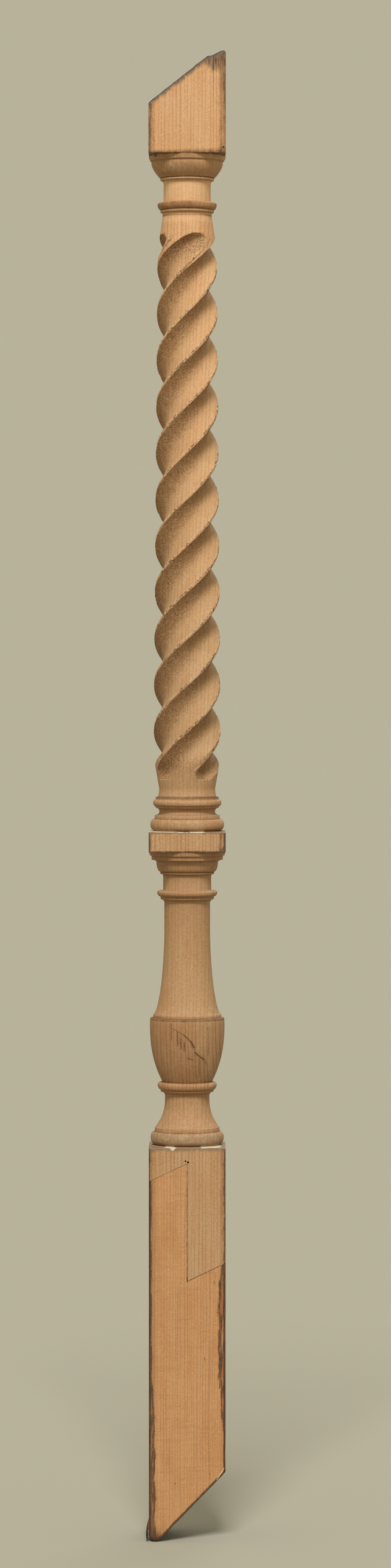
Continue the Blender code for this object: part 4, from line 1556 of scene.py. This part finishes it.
@dataclass
class Foot:
    """The newer foot, from its raked end to the joint.

    Attributes:
        scarf: The joint at its upper end.
        finish: Its surface.
        rake: The slope of its end.
        top: Where its blank ends, above the joint.
        row: About how far apart its rows are.
        tip: The worn tip's outline, from the left face.
        splinter: The split sliver's outline.
    """

    scarf: Scarf
    finish: FootFinish
    rake: float = math.radians(45.8)
    top: float = 0.23
    row: float = 0.0016
    tip: tuple[Point, ...] = (
        (-0.0235, -0.0152), (-0.0229, -0.0159), (-0.0221, -0.017), (-0.0208, -0.0179),
        (-0.0176, -0.0179), (-0.0164, -0.0168), (-0.0122, -0.0129), (-0.0077, -0.0075), (-0.0046, -0.005),
    )
    splinter: tuple[Point, ...] = (
        (-0.0234, -0.0046), (-0.0242, -0.0078), (-0.0249, -0.0108), (-0.02532, -0.0146),
        (-0.0251, -0.0165), (-0.0243, -0.0169), (-0.02375, -0.016), (-0.024, -0.0125), (-0.0231, -0.0085),
    )

    def end_height(self, x: Array, y: Array) -> Array:
        """The raked end, with its worn tip.

        Args:
            x: The points' X.
            y: The points' Y.

        Returns:
            The height at each point.
        """
        plane = x * math.tan(self.rake)
        places = np.column_stack((x, y, x * 0))
        rough = 0.5 + 0.5 * ripple(places, (0.0016, 0.003, 1.0), 4.0)
        worn = np.interp(x, *zip(*self.tip)) + 0.0007 * ease(y, 0.0, HALF_STOCK)
        line = np.where(x < self.tip[-1][0], worn, plane)
        return line + 0.00022 * rough

    def build(self) -> Object:
        """Saw, cut, wear and dress the foot.

        Returns:
            The piece.
        """
        material = self.finish.material()
        loft = Loft()
        square = square_angles()
        reach = square_reach(square, HALF_STOCK, 0.00045)
        loft.pole(float(self.end_height(np.zeros(1), np.zeros(1))[0]))
        loft.face(square, reach, np.linspace(0.03, 0.985, 30), self.end_height)
        side = around(square, reach, 0.0)
        low = self.end_height(side[:, 0], side[:, 1]) + 0.0003
        for share in np.linspace(0.0, 1.0, round(self.top / self.row)) ** 1.3:
            loft.ring(square, around(square, reach, low + (self.top - low) * share))
        loft.close(self.top)
        piece = put("new_foot", loft.mesh("new_foot"), material)
        sliver = slab("splinter", list(reversed(self.splinter)), -HALF_STOCK + 0.0013, -HALF_STOCK + 0.0105)
        cut(piece, sliver, "UNION")
        self.scarf.trim(piece, side=-1)
        self.wear(piece.data)
        self.masks(piece.data)
        return finished(piece, "spliced_foot")

    def wear(self, mesh: Mesh) -> None:
        """Bruise the long edges.

        Args:
            mesh: The foot's mesh.
        """
        points = vertex_array(mesh)
        x, y = np.abs(points[:, :2]).T
        corner = np.minimum(x, y) / HALF_STOCK
        inside = np.maximum(x, y) < HALF_STOCK + 0.0001
        uneven = 0.5 + 0.5 * ripple(points, (0.005, 0.005, 0.009), 6.0)
        loss = 0.0009 * ease(corner, 0.9, 1.0) * uneven * inside
        points[:, :2] *= (1 - loss / HALF_STOCK)[:, None]
        mesh.vertices.foreach_set("co", points.ravel())

    def masks(self, mesh: Mesh) -> None:
        """Write where varnish, dirt and saw cuts are.

        Args:
            mesh: The foot's mesh.
        """
        points = vertex_array(mesh)
        x, y, z = points.T
        from_left, from_right = corner_gaps(x, y)
        above_end = z - self.end_height(x, y)
        left_wide = np.interp(z, [0.0, 0.02, 0.06, 0.09, 0.22], [0.0032, 0.0034, 0.003, 0.0016, 0.0013])
        right_wide = np.interp(
            z, [0.026, 0.045, 0.06, 0.085, 0.14, 0.156, 0.22],
            [0.0008, 0.0011, 0.002, 0.0034, 0.0034, 0.0012, 0.0012],
        )
        write_masks(
            mesh,
            varnish_left=ease(from_left, left_wide * 2.0, left_wide * 0.1),
            varnish_right=ease(from_right, right_wide * 1.9, right_wide * 0.3),
            rub=np.maximum.reduce([
                ease(from_left, 0.0044, 0.001),
                ease(from_right, 0.004, 0.001),
                ease(above_end, 0.004, 0.0005) * 0.8,
            ]),
            sawn=ease(above_end, 0.0012, 0.0002),
            end_rim=ease(above_end, 0.0032, 0.0009),
            outer=ease(np.minimum(from_left, from_right), 0.0019, 0.0009),
            smudge=ease(from_left, 0.0052, 0.002),
            tip_stain=ease(above_end, 0.012, 0.001) * ease(x, -0.009, -0.02),
            # The splinter that stands out from the left face.
            grime=x < -HALF_STOCK - 0.0001,
        )


def worn_edges(points: list[Point], wear: float) -> list[Point]:
    """Take the sharpness off an outline's corners.

    Args:
        points: The outline.
        wear: How far from a corner the wear reaches.

    Returns:
        The outline with two points for each sharp corner.
    """
    clean = [points[0]]
    for point in points[1:]:
        if math.dist(point, clean[-1]) > 1e-6:
            clean.append(point)
    worn = [clean[0]]
    for before, corner, after in zip(clean, clean[1:], clean[2:]):
        into = np.subtract(corner, before)
        out = np.subtract(after, corner)
        into_length, out_length = float(np.hypot(*into)), float(np.hypot(*out))
        turn = math.acos(max(-1.0, min(1.0, float(into @ out) / (into_length * out_length))))
        if turn < SHARP_CORNER:
            worn.append(corner)
            continue
        back = min(wear, into_length * 0.4)
        on = min(wear, out_length * 0.4)
        worn.append(tuple(np.subtract(corner, into / into_length * back)))
        worn.append(tuple(np.add(corner, out / out_length * on)))
    worn.append(clean[-1])
    return worn


def finished(piece: Object, node: str) -> Object:
    """Shade a piece and give it its place in the frame.

    Args:
        piece: The piece.
        node: The frame's node that it stands for.

    Returns:
        The piece.
    """
    piece.data.shade_smooth()
    piece.data.set_sharp_from_angle(angle=SHARP_EDGE)
    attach(piece, "root")
    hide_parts(node)
    return piece


@dataclass(frozen=True)
class Lamp:
    """A soft light that comes from far away.

    Attributes:
        name: Its name.
        energy: Its strength.
        spread: How wide it looks, in degrees.
        lift: How high it stands, in degrees.
        turn: How far it stands round from the front towards +X, in degrees.
    """

    TINT: ClassVar[tuple[float, float, float]] = (1.0, 0.98, 0.955)

    name: str
    energy: float
    spread: float
    lift: float
    turn: float

    def hang(self) -> None:
        """Add the lamp to the scene."""
        data = bpy.data.lights.new(self.name, "SUN")
        data.energy = self.energy
        data.angle = math.radians(self.spread)
        data.color = self.TINT
        sun = bpy.data.objects.new(self.name, data)
        rise, side = math.radians(self.lift), math.radians(self.turn)
        source = Vector((math.sin(side) * math.cos(rise), -math.cos(side) * math.cos(rise), math.sin(rise)))
        sun.rotation_euler = source.to_track_quat("Z", "Y").to_euler()
        bpy.context.scene.collection.objects.link(sun)


@dataclass(frozen=True)
class Studio:
    """The plain pale floor, the soft light and the camera.

    Attributes:
        distance: How far the camera stands in front of the axis.
        eye: The camera's height.
        aim: What the camera looks at, as X and Z.
        lens: Its focal length in millimetres, on a 36 mm long side.
        floor_radius: How far the floor runs.
        floor_height: Where it lies, just under the object's tip.
        look: The colour that the floor and the sky show.
        lamps: The lights.
    """

    distance: float = 3.1
    eye: float = 0.522
    aim: Point = (0.0051, 0.4441)
    lens: float = 116.1
    floor_radius: float = 60.0
    floor_height: float = -0.0185
    look: Colour = tone(184, 178, 155)
    lamps: tuple[Lamp, ...] = (
        Lamp("key", 3.0, 17.0, 49.0, -3.0),
        Lamp("fill", 0.15, 60.0, 12.0, 14.0),
        Lamp("back", 0.8, 40.0, 35.0, 165.0),
    )

    def build(self) -> None:
        """Lay the floor, hang the lights and set the camera."""
        self.lay_floor()
        self.light()
        data = bpy.data.cameras.new("camera")
        data.lens = self.lens
        data.sensor_width = 36.0
        data.clip_end = 100.0
        camera = bpy.data.objects.new("camera", data)
        camera.location = (self.aim[0], -self.distance, self.eye)
        line = Vector((0.0, self.distance, self.aim[1] - self.eye))
        camera.rotation_euler = line.to_track_quat("-Z", "Y").to_euler()
        bpy.context.scene.collection.objects.link(camera)
        bpy.context.scene.camera = camera

    def lay_floor(self) -> None:
        """One flat round floor, in the tone at which it shows the sky's colour, so that no horizon shows."""
        sides = 96
        turns = [2 * math.pi * i / sides for i in range(sides)]
        reach = self.floor_radius
        points = [(reach * math.cos(turn), reach * math.sin(turn), self.floor_height) for turn in turns]
        mesh = new_mesh("floor", points, [tuple(range(sides))])
        falling = sum(lamp.energy * math.sin(math.radians(lamp.lift)) for lamp in self.lamps) / math.pi
        shares = [show / (falling * tint + show) for show, tint in zip(self.look, Lamp.TINT)]
        paint = Painter("pale_floor")
        paint.shader.inputs["Base Color"].default_value = (*shares, 1.0)
        paint.shader.inputs["Roughness"].default_value = 1.0
        paint.shader.inputs["Specular IOR Level"].default_value = 0.0
        put("floor", mesh, paint.material)

    def light(self) -> None:
        """Hang the lamps under a pale sky that fills the shadows."""
        for lamp in self.lamps:
            lamp.hang()
        world = bpy.data.worlds.new("pale_sky")
        world.use_nodes = True
        sky = world.node_tree.nodes["Background"]
        sky.inputs["Color"].default_value = self.look
        sky.inputs["Strength"].default_value = 1.0
        bpy.context.scene.world = world
        bpy.context.scene.view_settings.view_transform = "Standard"


def corners(pair: tuple[Vector, Vector]) -> list[list[float]]:
    """A box's two corners as plain lists."""
    return [list(corner) for corner in pair]


def main() -> None:
    """Build the baluster's pieces on the frame, then the studio."""
    logging.basicConfig(level=logging.INFO, format="%(name)s: %(message)s")
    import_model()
    scarf = Scarf()
    old_grain = Grain(tone(209, 166, 122), tone(162, 106, 66), tone(203, 152, 104), 0.0022, (-0.35, 0.03))
    new_grain = Grain(
        tone(188, 141, 94), tone(132, 90, 66), tone(180, 127, 78), 0.00175, (0.4, 0.02),
        line=0.42, mottle=0.14, tooth=0.16,
    )
    cracks = (
        ((-0.009, 0.2952), (-0.0021, 0.2915), 0.00022, 0.45),
        ((-0.0021, 0.2915), (0.0022, 0.2875), 0.00032, 0.85),
        ((0.0022, 0.2875), (0.0041, 0.2837), 0.00042, 1.0),
        ((0.0041, 0.2837), (0.0047, 0.2809), 0.00026, 0.5),
        ((0.0047, 0.2809), (0.0069, 0.2788), 0.00034, 0.95),
        ((0.0069, 0.2788), (0.0103, 0.276), 0.00034, 0.8),
        ((0.0103, 0.276), (0.0116, 0.2732), 0.00026, 0.5),
        ((-0.0097, 0.2977), (-0.0097, 0.2884), 0.00022, 0.55),
        ((-0.006, 0.2937), (-0.0058, 0.2856), 0.00026, 0.75),
        ((-0.0039, 0.289), (-0.0037, 0.2834), 0.00026, 0.85),
        ((-0.0018, 0.2865), (-0.0017, 0.2822), 0.00028, 0.85),
        ((0.0006, 0.277), (0.0036, 0.276), 0.00026, 0.7),
        ((0.0048, 0.28), (0.005, 0.266), 0.00024, 0.4),
        ((0.0072, 0.2785), (0.0074, 0.2665), 0.00026, 0.45),
        ((0.0128, 0.296), (0.013, 0.279), 0.00022, 0.4),
    )
    pieces = [
        Spindle(scarf, Twist(), SpindleFinish(old_grain, scarf, scratches=cracks)).build(),
        Foot(scarf, FootFinish(new_grain, scarf)).build(),
    ]
    for piece in pieces:
        piece.data.calc_loop_triangles()
        LOG.info("%s has %d triangles", piece.name, len(piece.data.loop_triangles))
    Studio().build()


if __name__ == "__main__":
    main()
